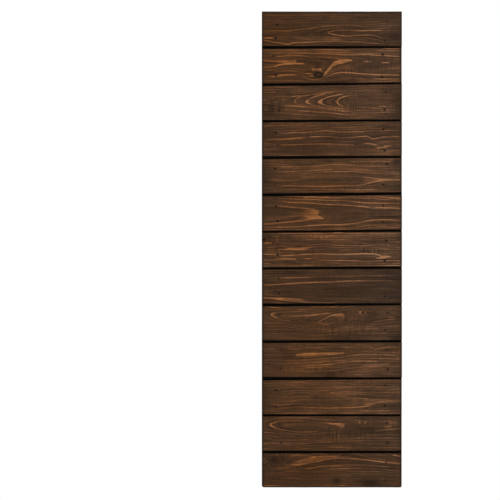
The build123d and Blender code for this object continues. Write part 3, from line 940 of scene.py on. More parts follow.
def latewood(figure, u, v):
    """Brightness of the listed latewood lines, and the darker wood that sets them off."""
    bright = np.zeros(u.shape)
    beside = np.zeros(u.shape)
    for _, strength, width, points, *blunt in figure["lines"]:
        core, halo = latewood_line(points, width, "".join(blunt), u, v)
        bright = np.maximum(bright, strength * core)
        beside = np.maximum(beside, strength * halo)
    for strength, start_fade, end_fade, edges in figure.get("fills", ()):
        bright = np.maximum(bright, strength * bright_fill(edges, start_fade, end_fade, u, v))
    gain = figure["gain"]
    return gain * bright, gain * np.clip(beside - HALO_CLEARANCE * bright, 0, 1)


def round_zone(u, v, centre_u, centre_v, radius_u, radius_v):
    """1 in the middle of a soft round zone, falling off outwards."""
    return np.exp(-(((u - centre_u) / radius_u) ** 2) - ((v - centre_v) / radius_v) ** 2)


def zones(figure, key, u, v):
    """The sum of a figure's soft round zones of one kind: its glows, its hues or its calm."""
    out = np.zeros(u.shape)
    for *place, rise in figure.get(key, ()):
        out += rise * round_zone(u, v, *place)
    return out


def dark_marks(figure, u, v):
    """Darkness of the stain's blotches and of the knots."""
    out = np.zeros(u.shape)
    for *place, depth in figure["marks"]:
        out = np.maximum(out, depth * round_zone(u, v, *place))
    for ku, kv, ru, rv in figure.get("knots", ()):
        reach = np.hypot((u - ku) / ru, (v - kv) / rv)
        rim = smoothstep((reach - KNOT_RIM_FROM) / KNOT_SOFT)
        rim = rim * (1 - smoothstep((reach - KNOT_RIM_TO) / KNOT_SOFT))
        heart = KNOT_HEART_DARK - KNOT_HEART_PALER * np.clip((u - ku) / ru, 0, 1)
        heart = heart * (1 - smoothstep((reach - KNOT_HEART) / KNOT_SOFT))
        out = np.maximum(out, np.maximum(KNOT_RIM_DARK * rim, heart))
    return out


def nail_shade(figure, bright, u, v):
    """Darkness of the stain round the nails; a bright line shows through round a pale nail."""
    out = np.zeros(u.shape)
    for nail_u, nail_v, stain in figure["nails"]:
        reach = np.hypot((u - nail_u) / NAIL_STAIN_STRETCH, v - nail_v) * UNIT
        around = 1 - smoothstep((reach - NAIL_STAIN_FLAT) / NAIL_STAIN_SLOPE)
        outshone = bright * (1 - stain) > NAIL_OUTSHONE
        out = np.maximum(out, np.where(outshone, 0, NAIL_STAIN * stain * around))
    return out


def chatter_depth(figure, u, v):
    """Strength of the planer's cross marks."""
    out = np.full(u.shape, CHATTER_DEPTH)
    for u0, u1, v0, v1, depth in figure.get("chatter", ()):
        along = smoothstep((u - u0) / CHATTER_FADE_ALONG) * smoothstep((u1 - u) / CHATTER_FADE_ALONG)
        down = smoothstep((v - v0) / CHATTER_FADE_DOWN) * smoothstep((v1 - v) / CHATTER_FADE_DOWN)
        out = np.maximum(out, depth * along * down)
    return out


# Meshes


def span(start, stop, parts):
    """Points from start up to, not including, stop."""
    return list(np.linspace(start, stop, parts, endpoint=False))


def slice_places(figure):
    """Places along a board, with more at its eased ends and across its nail holes."""
    middle = np.linspace(EASE, LENGTH - EASE, round(LENGTH / SLICE_STEP))
    places = [*EASE_STEPS[:-1], *middle, *(LENGTH - EASE_STEPS[-2::-1])]
    for u, _, _ in figure["nails"]:
        places += list(u * UNIT + NAIL_STEPS)
    places = sorted(places)
    kept = places[:1]
    for place in places[1:]:
        if place - kept[-1] > CLOSEST_SLICES or place > LENGTH - EASE:
            kept.append(place)
    return np.unique(kept)


def board_rows(index):
    """Rows round a board's section. Each is (fixed part, share of the face, depth, is on front).

    A row lies its fixed part and its share of the face's height below the board's upper edge.
    """
    has_lip = index > 0
    has_rabbet = index < BOARD_COUNT - 1
    top_rise = LIP_RISE if has_lip else 0
    top_back = BOARD_BACK - LIP if has_lip else BOARD_BACK
    foot_rise = RABBET_RISE if has_rabbet else FOOT_CORNER
    foot_back = BOARD_BACK - RABBET if has_rabbet else BOARD_BACK
    foot_rows = RABBET_ROWS if has_rabbet else CORNER_ROWS
    rows = [(d, 0, FRONT, 1) for d in EASE_STEPS[:-1]]
    rows += [(EASE * (1 - 2 * s), s, FRONT, 1) for s in np.linspace(0, 1, FACE_ROWS)]
    rows += [(-d, 1, FRONT, 1) for d in EASE_STEPS[-2::-1]]
    rows += [(0, 1, y, 0) for y in span(FRONT + EASE, foot_back, SIDE_ROWS)[1:]]
    rows += [(-a, 1, foot_back, 0) for a in span(0, foot_rise, foot_rows)]
    if has_rabbet:
        rows += [(-foot_rise, 1, y, 0) for y in span(foot_back, BOARD_BACK, STEP_ROWS)]
    for s in span(0, 1, BACK_ROWS):
        rows.append(((foot_rise - top_rise) * s - foot_rise, 1 - s, BOARD_BACK, 0))
    if has_lip:
        rows += [(-top_rise, 0, y, 0) for y in span(BOARD_BACK, top_back, STEP_ROWS)]
        rows += [(a, 0, top_back, 0) for a in span(-top_rise, 0, LIP_ROWS)]
    rows += [(0, 0, y, 0) for y in span(top_back, FRONT + EASE, SIDE_ROWS)]
    return np.array(rows)


def groove_rise(rises, groove, share):
    """Rise of a groove's edge along the boards; the panel's own top and foot have none."""
    if groove < 1 or groove >= BOARD_COUNT:
        return np.zeros(share.shape)
    left, right = rises[groove - 1]
    return (left + (right - left) * share) * MM


def ease_depth(distance):
    """How far the eased arris lies behind the show face."""
    inside = np.clip(EASE - distance, 0, EASE)
    return EASE - np.sqrt(np.maximum(EASE**2 - inside**2, 0))


def rim_shade(distance, rim):
    """Painted shade along a rim: (its depth at the very edge, its reach)."""
    depth, reach = rim
    return depth * (1 - smoothstep(distance / reach))


def new_object(name, vertices, faces, materials):
    mesh = bpy.data.meshes.new(name)
    mesh.from_pydata([tuple(v) for v in vertices], [], faces)
    for material in materials:
        mesh.materials.append(material)
    obj = bpy.data.objects.new(name, mesh)
    bpy.context.scene.collection.objects.link(obj)
    return obj


def swept_object(name, x, y, z, materials):
    """A closed section swept along: rows round the section of one vertex a slice, and end caps."""
    rows, slices = z.shape
    faces = []
    for r in range(rows):
        here = r * slices
        there = (r + 1) % rows * slices
        for s in range(slices - 1):
            faces.append((here + s, there + s, there + s + 1, here + s + 1))
    faces.append(tuple(r * slices for r in reversed(range(rows))))
    faces.append(tuple(r * slices + slices - 1 for r in range(rows)))
    vertices = np.stack([x, y, z], axis=-1).reshape(-1, 3)
    return new_object(name, vertices, faces, materials)


def set_attributes(obj, **fields):
    """Gives every vertex its values; a single number goes to all of them."""
    for name, values in fields.items():
        attribute = obj.data.attributes.new(name, "FLOAT", "POINT")
        values = np.zeros(len(obj.data.vertices)) + np.ravel(values)
        attribute.data.foreach_set("value", values.astype(np.float32))


def finish_mesh(obj, caps):
    """Smooth faces with sharp arrises; the two end caps are flat and have the second material."""
    mesh = obj.data
    smooth = np.ones(len(mesh.polygons), bool)
    material = np.zeros(len(mesh.polygons), np.int32)
    if caps:
        smooth[-2:] = False
        material[-2:] = 1
    mesh.polygons.foreach_set("use_smooth", smooth)
    mesh.polygons.foreach_set("material_index", material)
    mesh.set_sharp_from_angle(angle=SHARP_ANGLE)
    mesh.update()


def board_outline(index, rows, places):
    """The vertices' x and z, and the z of the board's upper and lower edge."""
    share = rows[:, 1:2]
    along = places / LENGTH
    flat = 0 * places
    nominal_top = PANEL_TOP - index * PITCH
    wane_top = EDGE_WANE * (0.5 + 0.5 * value_noise(places, flat, WANE_ABOVE, index))
    wane_foot = EDGE_WANE * (0.5 + 0.5 * value_noise(places, flat, WANE_BELOW, index))
    top = nominal_top + groove_rise(GROOVE_LOWER, index, along) - wane_top
    foot = nominal_top - FACE + groove_rise(GROOVE_UPPER, index + 1, along) + wane_foot
    z = top - (rows[:, 0:1] + share * (top - foot))
    left, right = END_TRIM[index]
    x = PANEL_LEFT + left * MM + places * (LENGTH - (left + right) * MM) / LENGTH + 0 * z
    if index == BOARD_COUNT - 1:
        near_foot = np.clip(FOOT_CORNER - (z - foot), 0, FOOT_CORNER)
        inset = FOOT_CORNER - np.sqrt(FOOT_CORNER**2 - near_foot**2)
        x = PANEL_MIDDLE + (x - PANEL_MIDDLE) * (1 - 2 * inset / LENGTH)
    return x, z, top, foot


def painted_rim_shade(index, to_end, to_top, to_foot):
    """Painted shade along a board's rims, by the distances from its ends and edges."""
    top_rim = OUTER_RIM if index == 0 else GROOVE_RIM
    foot_rim = OUTER_RIM if index == BOARD_COUNT - 1 else GROOVE_RIM
    edge = np.maximum(rim_shade(to_end, END_RIM), rim_shade(to_top, top_rim))
    return np.maximum(edge, rim_shade(to_foot, foot_rim))


def groove_painted_shade(index, rows, shape):
    """Painted shade: 1 on the sides that line a groove, which the wood's colour turns near black, and 0
    elsewhere.
    """
    share = rows[:, 1:2]
    is_side = (rows[:, 2:3] < BOARD_BACK - 0.1 * MM) & (rows[:, 3:4] < 0.5)
    at_groove = (share < 0.5) & (index > 0) | (share > 0.5) & (index < BOARD_COUNT - 1)
    return np.where(is_side & at_groove, 1.0, np.zeros(shape))


def face_relief(index, figure, ring, late, calm, u, v):
    """How far the face lies back: between its rings, by cupping, by wear and in its nail holes."""
    pulse = ring / RING_SPACING
    pulse = pulse - np.floor(pulse)
    raised = np.maximum(smoothstep(late * LATE_SHARE), RING_SHARE * pulse**2 * (1 - calm))
    wear = WEAR_LEVEL + WEAR_PLAY * value_noise(u, v, RELIEF_WEAR, index)
    relief = GRAIN_RELIEF * (1 - raised) * wear
    across = (v - HALF_FACE) / HALF_FACE
    relief = relief + CUP * across**2 * (CUP_LEVEL + CUP_PLAY * math.sin(CUP_STEP * index))
    relief = relief + ROUGH_RELIEF * (1 + value_noise(u, v, ROUGHNESS, index))
    for nail_u, nail_v, _ in figure["nails"]:
        reach = np.hypot(u - nail_u, v - nail_v) * UNIT
        hole = NAIL_HOLE_DEPTH * (1 - smoothstep((reach - NAIL_HOLE_FLAT) / NAIL_HOLE_SLOPE))
        relief = np.maximum(relief, hole)
    return relief


def figure_top(index):
    """The height of the zero of a board's figure."""
    return PANEL_TOP - index * PITCH + FIGURES[f"board_{index + 1:02d}"]["rise"] * MM


def make_board(index, wood, end_grain):
    """One board with its grooves' tilt, its eased and worn edges, its relief and its nail holes, and
    painted shade along its rims and in its grooves.
    """
    name = f"board_{index + 1:02d}"
    figure = FIGURES[name]
    rows = board_rows(index)
    on_front = rows[:, 3:4] > 0.5
    places = slice_places(figure)[None, :]
    x, z, top, foot = board_outline(index, rows, places)
    to_end = np.minimum(places, LENGTH - places) + 0 * z
    to_edge = np.minimum(z - foot, top - z)

    u = (x - PANEL_LEFT) / UNIT
    v = (figure_top(index) - z) / UNIT
    warp = WARP_REACH * value_noise(u, v, WARP, index)
    warped = v + (warp + FINE_WARP_REACH * value_noise(u, v, FINE_WARP, index))
    ring = ring_levels(figure, u, warped) + RINGS_INWARDS * (rows[:, 2:3] - FRONT) / UNIT
    bright, beside = latewood(figure, u, warped)
    late = np.where(on_front, bright, 0)
    dark = np.maximum(dark_marks(figure, u, warped), HALO_DEPTH * beside)
    dark = np.maximum(dark, nail_shade(figure, bright, u, v))
    # painted shade, darker along the board's ends and edges
    edge = painted_rim_shade(index, to_end, top - z, z - foot)
    calm = np.clip(zones(figure, "calm", u, v), 0, 1)
    greyer = GREYER * smoothstep((u - GREYER_FROM) / GREYER_OVER)

    relief = face_relief(index, figure, ring, late, calm, u, v)
    eased = np.maximum(ease_depth(to_end), ease_depth(to_edge))
    y = rows[:, 2:3] + np.where(on_front, np.maximum(eased, relief), 0)
    obj = swept_object(name + "_dressed", x, y, z, [wood, end_grain])
    set_attributes(
        obj,
        ring=ring + BOARD_RINGS * (index + 1),
        late=late,
        dark=np.where(on_front, dark, HIDDEN_SHADE),
        chatter=np.where(on_front, chatter_depth(figure, u, v), HIDDEN_SHADE),
        edge=np.where(on_front, edge, 0),
        # painted shade: the sides inside each groove are turned near black
        groove=groove_painted_shade(index, rows, z.shape),
        tone=figure["tone"] * (1 + zones(figure, "glows", u, v)),
        warm=figure["warmth"] - greyer + zones(figure, "hues", u, v),
        calm=calm,
    )
    finish_mesh(obj, caps=True)
    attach(obj, "root")
    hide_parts(name)


def batten_section(low, high):
    """Points round a batten's section, with eased corners."""
    corners = [
        (low.x + EASE, low.y + EASE, math.pi),
        (high.x - EASE, low.y + EASE, 1.5 * math.pi),
        (high.x - EASE, high.y - EASE, 0),
        (low.x + EASE, high.y - EASE, 0.5 * math.pi),
    ]
    arcs = []
    for middle_x, middle_y, start in corners:
        turns = start + BATTEN_TURNS
        arc = [middle_x + EASE * np.cos(turns), middle_y + EASE * np.sin(turns)]
        arcs.append(np.stack(arc, axis=-1))
    section = []
    for arc, after, parts in zip(arcs, arcs[1:] + arcs[:1], BATTEN_SIDES):
        steps = np.linspace(0, 1, parts + 1)[1:-1, None]
        section += [arc, arc[-1] + (after[0] - arc[-1]) * steps]
    return np.concatenate(section)


def make_batten(name, seed, wood, end_grain):
    """An upright batten with eased long arrises and its own figure."""
    low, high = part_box(name)
    section = batten_section(low, high)
    heights = np.linspace(low.z, high.z, BATTEN_SLICES)[None, :]
    x = section[:, 0:1] + 0 * heights
    y = section[:, 1:2] + 0 * heights
    z = heights + 0 * x
    heart_x = (low.x + high.x) / 2 + HEART_SIDEWAYS * value_noise(z, 0 * z, HEART_SWAY, seed)
    heart_y = low.y - HEART_FORWARDS + HEART_PLAY * value_noise(z, 0 * z, HEART_DEPTH, seed)
    ring = np.hypot(x - heart_x, y - heart_y) / UNIT
    ring = ring + BATTEN_WAVER_REACH * value_noise(z, x, BATTEN_WAVER, seed)
    obj = swept_object(name + "_dressed", x, y, z, [wood, end_grain])
    set_attributes(
        obj,
        ring=ring + BATTEN_RINGS,
        late=0,
        edge=0,
        groove=0,
        dark=BATTEN_DARK * (1 + value_noise(z, x, BATTEN_STAIN, seed)),
        chatter=BATTEN_CHATTER,
        tone=BATTEN_TONE,
        warm=BATTEN_WARMTH * value_noise(z, x, BATTEN_HUES, seed),
        calm=0,
    )
    finish_mesh(obj, caps=True)
    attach(obj, "root")
    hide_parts(name)


def circle(radius, sides):
    """Points round a circle, from its middle."""
    turns = [2 * math.pi * k / sides for k in range(sides)]
    return [(radius * math.cos(turn), radius * math.sin(turn)) for turn in turns]


def lathed_faces(first, rings, sides):
    """Faces between a first vertex and the rings of vertices after it."""
    faces = []
    for k in range(sides):
        after = (k + 1) % sides
        faces.append((first, first + 1 + k, first + 1 + after))
        for ring in range(rings - 1):
            a = first + 1 + ring * sides
            b = a + sides
            faces.append((a + k, b + k, b + after, a + after))
    return faces


def make_nails(index, metal):
    """The four nails of a board, each a lathed head on its shank, sunk in its hole."""
    name = f"board_{index + 1:02d}"
    vertices = []
    faces = []
    stains = []
    for u, v, stain in FIGURES[name]["nails"]:
        nail_x = PANEL_LEFT + u * UNIT
        nail_z = figure_top(index) - v * UNIT
        first = len(vertices)
        vertices.append((nail_x, FRONT + NAIL_CROWN, nail_z))
        for radius, depth in NAIL_PROFILE:
            for x, z in circle(radius * MM, NAIL_SIDES):
                vertices.append((nail_x + x, FRONT + depth * MM, nail_z + z))
        point = len(vertices)
        vertices.append((nail_x, FRONT + NAIL_POINT, nail_z))
        faces += lathed_faces(first, len(NAIL_PROFILE), NAIL_SIDES)
        for k in range(NAIL_SIDES):
            after = (k + 1) % NAIL_SIDES
            faces.append((point - NAIL_SIDES + k, point, point - NAIL_SIDES + after))
        stains += [stain] * (len(vertices) - first)
    obj = new_object(name + "_nails", vertices, faces, [metal])
    set_attributes(obj, stain=stains)
    finish_mesh(obj, caps=False)
    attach(obj, "root")


# Materials


def srgb(red, green, blue):
    """A colour written as 0 to 255, as linear light."""
    out = []
    for c in (red, green, blue):
        c = c / 255
        out.append(c / 12.92 if c <= 0.04045 else ((c + 0.055) / 1.055) ** 2.4)
    return (*out, 1.0)


# The stained wood, from its darkest to its brightest
STAIN = [
    # the darkest stop is the near black that the painted groove shade reaches
    (0.00, srgb(5, 4, 3)),
    (0.15, srgb(47, 31, 19)),
    (0.32, srgb(65, 44, 28)),
    (0.45, srgb(77, 53, 34)),
    (0.60, srgb(95, 65, 41)),
    (0.75, srgb(118, 78, 48)),
    (0.88, srgb(148, 96, 58)),
    (1.00, srgb(182, 122, 76)),
]
NAIL_STAINS = [(0.0, srgb(14, 10, 8)), (0.35, srgb(38, 26, 18)), (0.7, srgb(66, 45, 30))]
FLOOR_COLOUR = srgb(244, 243, 240)

# The noises of the wood: (cells per metre along the grain, across it, detail, offset)
NO_OFFSET = (0.0, 0.0, 0.0)
WOOD_NOISES = {
    "coarse": (8, 330, 3.0, NO_OFFSET),
    "fine": (50, 2200, 2.0, (3.1, 1.7, 5.3)),
    "mottle": (9, 40, 3.0, (9.1, 4.7, 2.3)),
    "bars": (380, 30, 1.0, (1.3, 8.1, 6.7)),
    "specks": (90, 480, 2.0, (6.4, 0.9, 4.3)),
    "patchy": (24, 160, 2.0, (5.5, 2.2, 7.7)),
    "drift": (12, 60, 2.0, (2.2, 6.6, 1.1)),
    "wander": (14, 90, 2.0, NO_OFFSET),
    "breaks": (18, 200, 1.0, NO_OFFSET),
}
NOISE_GAIN = 3.2
STREAKS_PER_METRE = 16.0
STREAKS_PER_LEVEL = 0.8
FINE_RINGS_PER_LEVEL = 0.66
RING_WANDER = 0.10
RING_RISE = 2.2
RING_FALL = 6.0
RING_CONTRAST = 1.4
RING_WEAKEST = 0.15
RING_PLAY = 0.9
BREAKS_SHIFT = 0.6
BREAKS_DEPTH = 0.75
CALM_SHARE = 0.85

# How much each layer adds to the wood's paleness, to a bright line and to the other looks
WOOD_WEIGHTS = {
    "rings": 0.60, "lines": 0.14, "coarse": 0.12, "streaks": 0.12, "fine": 0.08, "mottle": 0.14,
    "specks": 0.07, "chatter": 0.42,
}
LATE_LEVEL = 0.52
LATE_WEIGHTS = {"patchy": 0.16, "fine": 0.12, "lines": 0.08}
ROUGH_LEVEL = 0.66
ROUGH_WEIGHTS = {"rings": -0.12, "fine": 0.04}
BUMP_WEIGHTS = {"rings": 0.8, "fine": 0.35, "coarse": 0.25}
# How far each mark darkens the wood: dark is stain, knots and nail rust; edge is painted shade along the
# rims; groove is painted shade that turns the groove sides near black
SHADES = {"dark": 0.62, "edge": 0.45, "groove": 1.0}

# Warm wood: the drift of the warmth, and (level, what warmth adds) of saturation and hue
DRIFT_WEIGHT = 0.5
SATURATION = (1.0, 0.07)
HUE = (0.4995, -0.0016)

# The end grain: its rings, how far behind the origin plane their heart lies, and its layers
END_RINGS_PER_METRE = 420.0
END_WANDER = 0.35
END_CONTRAST = 3.0
END_HEART = 28 * MM
END_LEVEL = 0.17
END_WEIGHTS = {"late": 0.20, "fine": 0.06, "wander": 0.05}


class Graph:
    """Short names for the nodes of one material."""

    def __init__(self, name):
        self.material = bpy.data.materials.new(name)
        self.material.use_nodes = True
        self.nodes = self.material.node_tree.nodes
        self.links = self.material.node_tree.links
        self.shader = self.nodes["Principled BSDF"]

    def put(self, socket, value):
        if isinstance(value, (int, float)):
            socket.default_value = value
        else:
            self.links.new(value, socket)

    def finish(self, colour, rough, specular):
        """Sets the shader's colour, roughness and shine, and gives the material."""
        self.links.new(colour, self.shader.inputs["Base Color"])
        self.put(self.shader.inputs["Roughness"], rough)
        self.shader.inputs["Specular IOR Level"].default_value = specular
        return self.material

    def math(self, operation, first, second=0.0, clamp=False):
        node = self.nodes.new("ShaderNodeMath")
        node.operation = operation
        node.use_clamp = clamp
        self.put(node.inputs[0], first)
        self.put(node.inputs[1], second)
        return node.outputs[0]

    def add(self, first, second, clamp=False):
        return self.math("ADD", first, second, clamp)

    def minus(self, first, second):
        return self.math("SUBTRACT", first, second)

    def times(self, first, second, clamp=False):
        return self.math("MULTIPLY", first, second, clamp)

    def layered(self, level, layers, weights):
        """The level plus each of the named layers times its weight."""
        for name, weight in weights.items():
            level = self.add(level, self.times(layers[name], weight))
        return level

    def attribute(self, name):
        node = self.nodes.new("ShaderNodeAttribute")
        node.attribute_name = name
        return node.outputs["Fac"]

    def place(self, scale, offset=NO_OFFSET):
        """The place on the object, scaled and moved."""
        coordinates = self.nodes.new("ShaderNodeTexCoord")
        mapping = self.nodes.new("ShaderNodeMapping")
        mapping.inputs["Scale"].default_value = scale
        mapping.inputs["Location"].default_value = offset
        self.links.new(coordinates.outputs["Object"], mapping.inputs["Vector"])
        return mapping.outputs["Vector"]

    def split_place(self):
        """The place on the object as outputs named X, Y and Z."""
        coordinates = self.nodes.new("ShaderNodeTexCoord")
        split = self.nodes.new("ShaderNodeSeparateXYZ")
        self.links.new(coordinates.outputs["Object"], split.inputs[0])
        return split.outputs

    def noise_at(self, vector, detail):
        """Noise round 0, about -1 to 1."""
        node = self.nodes.new("ShaderNodeTexNoise")
        node.inputs["Scale"].default_value = 1.0
        node.inputs["Detail"].default_value = detail
        self.links.new(vector, node.inputs["Vector"])
        return self.times(self.minus(node.outputs["Fac"], 0.5), NOISE_GAIN)

    def noise(self, cells, detail):
        """Noise round 0 with the same number of cells per metre every way."""
        return self.noise_at(self.place((cells, cells, cells)), detail)

    def grain_noise(self, grain_axis, along, across, detail, offset):
        """Noise round 0 that is stretched along a grain that runs along X or Z."""
        scale = (along, across, across) if grain_axis == "X" else (across, across, along)
        return self.noise_at(self.place(scale, offset), detail)

    def white_noise(self, value):
        node = self.nodes.new("ShaderNodeTexWhiteNoise")
        node.noise_dimensions = "1D"
        self.links.new(value, node.inputs["W"])
        return node.outputs["Value"]

    def ramp(self, value, stops):
        node = self.nodes.new("ShaderNodeValToRGB")
        elements = node.color_ramp.elements
        while len(elements) < len(stops):
            elements.new(0.5)
        for element, (position, colour) in zip(elements, stops):
            element.position = position
            element.color = colour
        self.links.new(value, node.inputs["Fac"])
        return node.outputs["Color"]

    def bump(self, height, distance, strength):
        node = self.nodes.new("ShaderNodeBump")
        node.inputs["Strength"].default_value = strength
        node.inputs["Distance"].default_value = distance
        self.links.new(height, node.inputs["Height"])
        self.links.new(node.outputs["Normal"], self.shader.inputs["Normal"])


def year_rings(g, wander, breaks):
    """Latewood of the year rings, from the level that the mesh carries: fine lines, each its own."""
    level = g.math("DIVIDE", g.attribute("ring"), RING_SPACING)
    level = g.add(level, g.times(wander, RING_WANDER))
    number = g.math("FLOOR", level)
    part = g.minus(level, number)
    rise = g.math("POWER", part, RING_RISE)
    fall = g.times(g.minus(1.0, part), RING_FALL, clamp=True)
    strength = g.math("POWER", g.white_noise(number), RING_CONTRAST)
    strength = g.add(g.times(strength, RING_PLAY), RING_WEAKEST)
    unbroken = g.times(g.add(breaks, BREAKS_SHIFT, clamp=True), BREAKS_DEPTH)
    unbroken = g.add(unbroken, 1.0 - BREAKS_DEPTH)
    return g.times(g.times(g.times(rise, fall), strength), unbroken)


def fine_rings(g):
    """Narrow lines inside the year rings, round 0."""
    level = g.times(g.attribute("ring"), FINE_RINGS_PER_LEVEL)
    number = g.math("FLOOR", level)
    wave = g.minus(g.times(g.minus(level, number), 2.0), 1.0)
    return g.times(wave, g.white_noise(g.add(number, 0.5)))


def ring_streaks(g, grain_axis):
    """Short streaks round 0 that follow the year rings."""
    joined = g.nodes.new("ShaderNodeCombineXYZ")
    g.put(joined.inputs["X"], g.times(g.split_place()[grain_axis], STREAKS_PER_METRE))
    g.put(joined.inputs["Y"], g.times(g.attribute("ring"), STREAKS_PER_LEVEL))
    return g.noise_at(joined.outputs["Vector"], 2.0)


def wood_layers(g, grain_axis):
    """The layers of the wood by name: its noises, and what follows its rings, weaker where calm."""
    layers = {name: g.grain_noise(grain_axis, *noise) for name, noise in WOOD_NOISES.items()}
    layers["chatter"] = g.times(layers["bars"], g.attribute("chatter"))
    stirred = g.minus(1.0, g.times(g.attribute("calm"), CALM_SHARE))
    layers["rings"] = g.times(year_rings(g, layers["wander"], layers["breaks"]), stirred)
    layers["lines"] = g.times(fine_rings(g), stirred)
    layers["streaks"] = g.times(ring_streaks(g, grain_axis), stirred)
    return layers


def tinted(g, colour, warm):
    """The colour, redder and fuller where the wood is warm, greyer where it is not."""
    node = g.nodes.new("ShaderNodeHueSaturation")
    for name, (level, weight) in (("Saturation", SATURATION), ("Hue", HUE)):
        g.links.new(g.add(g.times(warm, weight), level), node.inputs[name])
    g.links.new(colour, node.inputs["Color"])
    return node.outputs["Color"]


def wood_material(name, grain_axis, paleness):
    """Dark stained softwood: bright latewood lines, year rings, fibres, stain blotches."""
    g = Graph(name)
    layers = wood_layers(g, grain_axis)
    value = g.layered(paleness, layers, WOOD_WEIGHTS)
    late = g.times(g.layered(LATE_LEVEL, layers, LATE_WEIGHTS), g.attribute("late"))
    value = g.times(g.add(value, late), g.attribute("tone"))
    # edge and groove darken the wood as painted shade; dark is the wood's own stain
    for mark, depth in SHADES.items():
        value = g.times(value, g.minus(1.0, g.times(g.attribute(mark), depth)), clamp=True)
    warm = g.add(g.attribute("warm"), g.times(layers["drift"], DRIFT_WEIGHT))
    g.bump(g.layered(0.0, layers, BUMP_WEIGHTS), 0.22 * MM, 0.8)
    rough = g.layered(ROUGH_LEVEL, layers, ROUGH_WEIGHTS)
    return g.finish(tinted(g, g.ramp(value, STAIN), warm), rough, 0.08)


def end_grain_material(name, axis, start, period):
    """Sawn end grain: arcs of year rings, pores and rays, darker with stain than the faces.

    The arcs start again every period along the axis, each time round a heart in its middle.
    """
    g = Graph(name)
    place = g.split_place()
    periods = g.math("DIVIDE", g.minus(place[axis], start), period)
    within = g.times(g.minus(g.minus(periods, g.math("FLOOR", periods)), 0.5), period)
    back = g.minus(place["Y"], END_HEART)
    radius = g.math("SQRT", g.add(g.math("POWER", within, 2.0), g.math("POWER", back, 2.0)))
    layers = {"fine": g.noise(2400.0, 2.0), "wander": g.noise(60.0, 2.0)}
    level = g.add(g.times(radius, END_RINGS_PER_METRE), g.times(layers["wander"], END_WANDER))
    layers["late"] = g.math("POWER", g.math("FRACT", level), END_CONTRAST)
    value = g.layered(END_LEVEL, layers, END_WEIGHTS)
    g.bump(g.add(layers["late"], layers["fine"]), 0.3 * MM, 0.7)
    return g.finish(g.ramp(value, STAIN), 0.8, 0.1)


def nail_material():
    """Nail heads that have been stained over and have rusted."""
    g = Graph("stained_nail")
    blotch = g.noise(900.0, 3.0)
    value = g.add(g.minus(1.0, g.attribute("stain")), g.times(blotch, 0.12), clamp=True)
    g.bump(blotch, 0.2 * MM, 0.6)
    return g.finish(g.ramp(value, NAIL_STAINS), 0.7, 0.1)


# Floor, light and camera

FLOOR_HEIGHT = PANEL_FOOT - 0.25
FLOOR_RADIUS = 3.0
FLOOR_FADE = 1.6
FLOOR_SIDES = 96
FLOOR_RINGS = 12
WORLD_STRENGTH = 0.45
CAMERA_PLACE = (-0.0748, FRONT - 10.67, -0.0014)
CAMERA_LENS = 300  # mm
CAMERA_SENSOR = 36  # mm
CAMERA_REACH = 60

# The lamps: (name, place, size, power)
LAMPS = [
    ("key", (-1.6, -3.2, 2.4), 1.8, 34),
    ("fill", (2.6, -2.8, 0.6), 2.0, 13),
    ("back", (0.8, 3.4, 2.2), 2.0, 26),
]


def make_floor():
    """A pale round floor that fades out towards its rim, so that no edge shows."""
    vertices = [(PANEL_MIDDLE, 0.0, FLOOR_HEIGHT)]
    for ring in range(1, FLOOR_RINGS + 1):
        for x, y in circle(FLOOR_RADIUS * ring / FLOOR_RINGS, FLOOR_SIDES):
            vertices.append((PANEL_MIDDLE + x, y, FLOOR_HEIGHT))
    faces = lathed_faces(0, FLOOR_RINGS, FLOOR_SIDES)
    g = Graph("pale_floor")
    g.shader.inputs["Base Color"].default_value = FLOOR_COLOUR
    g.shader.inputs["Roughness"].default_value = 0.9
    length = g.nodes.new("ShaderNodeVectorMath")
    length.operation = "LENGTH"
    g.links.new(g.place((1.0, 1.0, 0.0), (-PANEL_MIDDLE, 0.0, 0.0)), length.inputs[0])
    fade = g.minus(FLOOR_RADIUS, length.outputs["Value"])
    fade = g.math("DIVIDE", fade, FLOOR_RADIUS - FLOOR_FADE, clamp=True)
    g.links.new(fade, g.shader.inputs["Alpha"])
    floor = new_object("floor", vertices, faces, [g.material])


def make_lamp(name, place, size, power, target):
    """A soft square lamp that looks at the target."""
    data = bpy.data.lights.new(name, "AREA")
    data.shape = "SQUARE"
    data.size = size
    data.energy = power
    lamp = bpy.data.objects.new(name, data)
    bpy.context.scene.collection.objects.link(lamp)
    lamp.location = place
    direction = target.location - lamp.location
    lamp.rotation_euler = direction.to_track_quat("-Z", "Y").to_euler()


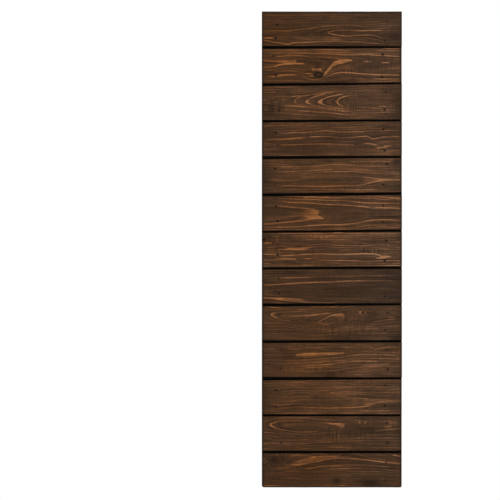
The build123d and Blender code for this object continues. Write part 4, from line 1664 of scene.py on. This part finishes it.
def make_lamps():
    """The lamps, and the point in the middle of the panel that they look at."""
    look_at = bpy.data.objects.new("look_at", None)
    look_at.location = (PANEL_MIDDLE, FRONT, 0.0)
    bpy.context.scene.collection.objects.link(look_at)
    for lamp in LAMPS:
        make_lamp(*lamp, look_at)


def make_world():
    """White where the camera or a reflection looks, and dimmer as a light."""
    world = bpy.data.worlds.new("studio")
    bpy.context.scene.world = world
    world.use_nodes = True
    nodes = world.node_tree.nodes
    links = world.node_tree.links
    paths = nodes.new("ShaderNodeLightPath")
    seen = paths.outputs["Is Camera Ray"]
    for other in ("Is Glossy Ray", "Is Transmission Ray"):
        either = nodes.new("ShaderNodeMath")
        either.operation = "MAXIMUM"
        links.new(seen, either.inputs[0])
        links.new(paths.outputs[other], either.inputs[1])
        seen = either.outputs[0]
    blend = nodes.new("ShaderNodeMapRange")
    blend.inputs["To Min"].default_value = WORLD_STRENGTH
    blend.inputs["To Max"].default_value = 1.0
    links.new(seen, blend.inputs["Value"])
    background = nodes["Background"]
    background.inputs["Color"].default_value = (1.0, 1.0, 1.0, 1.0)
    links.new(blend.outputs["Result"], background.inputs["Strength"])


def make_camera():
    """Straight in front, far away, so that the panel keeps its place in the photograph's frame."""
    data = bpy.data.cameras.new("camera")
    data.lens = CAMERA_LENS
    data.sensor_width = CAMERA_SENSOR
    data.clip_end = CAMERA_REACH
    camera = bpy.data.objects.new("camera", data)
    bpy.context.scene.collection.objects.link(camera)
    camera.location = CAMERA_PLACE
    camera.rotation_euler = (math.pi / 2, 0.0, 0.0)
    bpy.context.scene.camera = camera


make_camera()
make_world()
make_lamps()
make_floor()

board_wood = wood_material("stained_board", "X", 0.418)
batten_wood = wood_material("stained_batten", "Z", 0.33)
between_boards = PANEL_TOP - FACE / 2 - PITCH / 2
board_end = end_grain_material("board_end_grain", "Z", between_boards, PITCH)
batten_end = end_grain_material("batten_end_grain", "X", 0.045, 0.09)
nail_metal = nail_material()

for index in range(BOARD_COUNT):
    make_board(index, board_wood, board_end)
    make_nails(index, nail_metal)
make_batten("left_batten", 5, batten_wood, batten_end)
make_batten("right_batten", 9, batten_wood, batten_end)

bpy.context.scene.view_settings.view_transform = "Standard"
